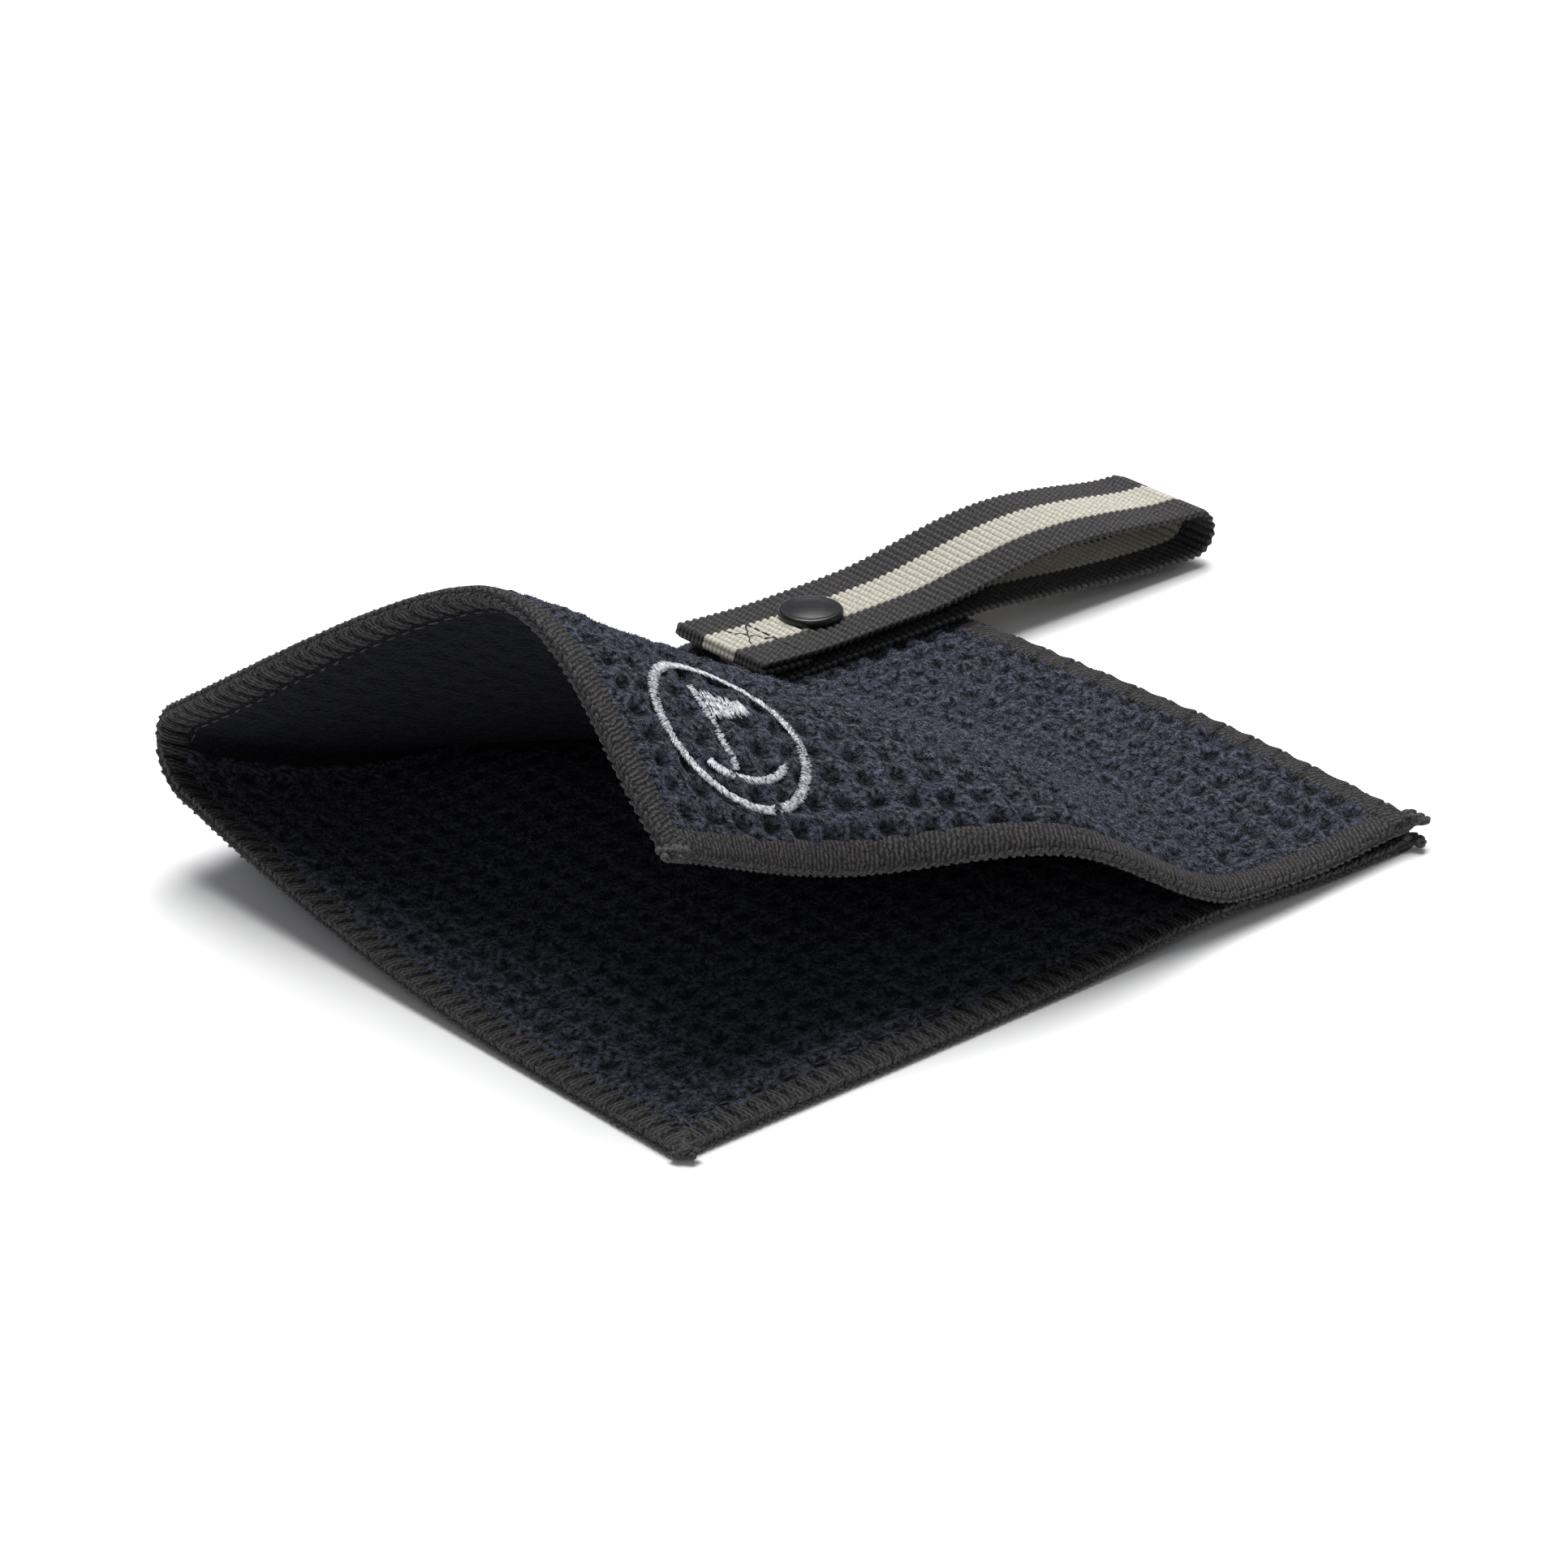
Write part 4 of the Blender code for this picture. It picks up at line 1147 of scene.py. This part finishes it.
def turned(name, outline, base):
    """A round part from its half section of (radius, height) pairs, which goes once round the snap's axis."""
    outline = np.array(outline)
    angle = 2 * pi * np.arange(TURNS) / TURNS
    rings = np.empty((len(outline), TURNS, 3))
    rings[..., 0] = SNAP_X + outline[:, :1] * np.cos(angle)
    rings[..., 1] = STRAP_CENTRE + outline[:, :1] * np.sin(angle)
    rings[..., 2] = base + outline[:, 1:2]
    step = np.arange(TURNS)
    ahead = (step + 1) % TURNS
    last = (len(outline) - 1) * TURNS
    faces = []
    for near in range(0, last, TURNS):
        far = near + TURNS
        faces += np.stack((near + step, far + step, far + ahead, near + ahead), axis=-1).tolist()
    if outline[0][0] == outline[-1][0]:
        faces += np.stack((last + step, step, ahead, last + ahead), axis=-1).tolist()
        return closed_mesh(name, rings.reshape(-1, 3), faces, enamel)
    poles = np.array([(SNAP_X, STRAP_CENTRE, base + end[1]) for end in (outline[0], outline[-1])])
    centre = last + TURNS
    faces += [[centre, int(a), int(b)] for a, b in zip(step, ahead)]
    faces += [[centre + 1, int(last + b), int(last + a)] for a, b in zip(step, ahead)]
    return closed_mesh(name, np.vstack((rings.reshape(-1, 3), poles)), faces, enamel)


snap_z = free_leg_height(SNAP_X)
dome = [(CAP_RADIUS * 0.84 * r, CAP_HEIGHT * (1.02 - 0.26 * r ** 2)) for r in np.linspace(0.06, 1.0, 12)]
rolled = [
    (CAP_RADIUS * (0.90 + 0.10 * cos(a)), CAP_HEIGHT * (0.44 + 0.36 * sin(a)))
    for a in np.linspace(radians(100), radians(-80), 16)
]
cap_base = snap_z + STRAP_THICK / 2 - 0.0001
snap_cap = turned("enamel_cap", dome + rolled + [(CAP_RADIUS * 0.90, 0.0), (CAP_RADIUS * 0.3, 0.0)], cap_base)

SOCKET_RADIUS, SOCKET_HEIGHT = 0.0044, 0.0007
STUD_RADIUS, STUD_HEIGHT, STUD_FLANGE = 0.0021, 0.0013, 0.0004
SOCKET_MIDDLE, SOCKET_HALF = 3.35e-3, 1.0e-3
socket_ring = [
    (SOCKET_MIDDLE + SOCKET_HALF * cos(a), SOCKET_HEIGHT / 2 + SOCKET_HEIGHT / 2 * sin(a))
    for a in np.linspace(0, 2 * pi, 25)[:-1]
]
socket_ring.append(socket_ring[0])
snap_socket = turned("enamel_socket", socket_ring, snap_z - STRAP_THICK / 2 - GAP - SOCKET_HEIGHT)
stud_outline = [(STUD_RADIUS * 0.15, STUD_HEIGHT), (STUD_RADIUS * 0.7, STUD_HEIGHT * 0.97)]
stud_outline += [
    (STUD_RADIUS * (0.80 + 0.2 * cos(a)), STUD_HEIGHT * (0.78 + 0.19 * sin(a)))
    for a in np.linspace(pi / 2, -pi / 3, 9)
]
stud_outline += [
    (STUD_RADIUS * 0.88, STUD_FLANGE + 0.0001), (SOCKET_RADIUS * 0.95, STUD_FLANGE),
    (SOCKET_RADIUS, STUD_FLANGE / 2), (SOCKET_RADIUS * 0.95, 0.0), (STUD_RADIUS * 0.15, 0.0),
]
snap_stud = turned("enamel_stud", stud_outline, STRAP_ON_TOWEL + STRAP_THICK / 2)

# %% [markdown]
# ## The pile
# A close look at microfibre shows a haze of split fibres over the loops. They matter at the outline and in raking
# light. Thin three-sided spines, a few to the square millimetre, are scattered over the bars and kept out of the
# pits and the hem.

# %% Pile
PILE_LENGTH = 0.00050
PILE_WIDTH = 0.00014
PILE_LEAN = 1.15
HALF_TURN = 3.14

fibre_finish, tree, shader = blank(
    "navy_microfibre_pile", Roughness=0.9, IOR=1.46, Sheen_Weight=0.08, Specular_IOR_Level=0.15,
)
navy = between(tree, noise(tree, object_place(tree), 0.6, 3.0, 0.7), "#0a0b0f", "#676a7c", 0.40, 0.66)
# Painted shade: the fibres darken by the same share as the cloth face they stand on.
wire(tree, shader, Base_Color=mix(tree, carried(tree, "inside"), navy, tint("#08090c")))

pile_tree = tree = bpy.data.node_groups.new("standing_pile", "GeometryNodeTree")
given, result = sockets(
    tree, Geometry="Geometry", Density="Float", Length="Float", Width="Float", Lean="Float",
    Seed="Int", Fibre="Material",
)
dense = maths(tree, "MULTIPLY", field(tree, "pile", "FLOAT"), given["Density"])
feeds = {"Mesh": given["Geometry"], "Density": dense, "Seed": given["Seed"]}
scattered = add(tree, "GeometryNodeDistributePointsOnFaces", feeds).outputs
spine = add(tree, "GeometryNodeMeshCone", {"Vertices": 3, "Radius Top": 0.0, "Radius Bottom": 0.5, "Depth": 1.0})
back = maths(tree, "MULTIPLY", given["Lean"], -1.0)
low = xyz(tree, X=back, Y=back, Z=-HALF_TURN)
high = xyz(tree, X=given["Lean"], Y=given["Lean"], Z=HALF_TURN)
tilt = random_between(tree, low, high, given["Seed"], "FLOAT_VECTOR")
tilted = turned_by(tree, scattered["Rotation"], tilt)
reach = maths(tree, "MULTIPLY", given["Length"], random_between(tree, 0.55, 1.25, given["Seed"]))
size = xyz(tree, X=given["Width"], Y=given["Width"], Z=reach)
plant(tree, scattered["Points"], spine.outputs["Mesh"], tilted, size, given["Fibre"], result)


def pile(name, cloth, density, seed):
    return grown(
        name, cloth, pile_tree, Density=density, Length=PILE_LENGTH, Width=PILE_WIDTH, Lean=PILE_LEAN,
        Seed=seed, Fibre=fibre_finish,
    )


piles = {
    "upper": pile("upper_pile", upper_cloth, 3.2e6, 5),
    "lower": pile("lower_pile", lower_cloth, 2.6e6, 6),
}

# %% [markdown]
# ## What moves with what
# The lower half lies on the table and the upper half lifts like a flap, turning about the fold. Pieces of the lower
# half ride on the base body, pieces of the flap on the flap body, and the tab's stitches and the snap's cap and
# socket on the strap arm. Cloth that crosses the fold, and the free leg of the strap, stay where they were made and
# ride on no body.


def over_the_fold(piece):
    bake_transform(piece)


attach(lower_cloth, "base")
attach(piles["lower"], "base")
over_the_fold(upper_cloth)
over_the_fold(piles["upper"])
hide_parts("lower_panel")
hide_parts("upper_panel")
for key, (band, chain) in hems.items():
    for piece in (band, chain):
        if key.startswith("lower"):
            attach(piece, "base")
        elif key == "upper_front":
            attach(piece, "flap")
        else:
            over_the_fold(piece)
    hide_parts(key + "_edging")
for key, piece in tufts_made.items():
    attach(piece, "base" if key.startswith("lower") else "flap")
    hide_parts(key + "_tail")
emblem_pieces = {
    "emblem_ring": ring_satin, "emblem_pole": pole_satin, "emblem_flag": flag_satin, "emblem_green": green_satin,
}
for node, piece in emblem_pieces.items():
    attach(piece, "flap")
    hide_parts(node)
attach(sewn_leg, "flap")
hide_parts("strap_sewn_leg")
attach(sewn_box, "flap")
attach(snap_stud, "flap")
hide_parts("snap_stud")
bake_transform(free_leg)
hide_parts("strap_free_leg", "strap_tab_hem")
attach(tab_cross, "strap_arm")
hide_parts("strap_tab_stitch_across", "strap_tab_stitch_near", "strap_tab_stitch_far")
for piece, node in ((snap_cap, "snap_cap"), (snap_socket, "snap_socket")):
    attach(piece, "strap_arm")
    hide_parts(node)
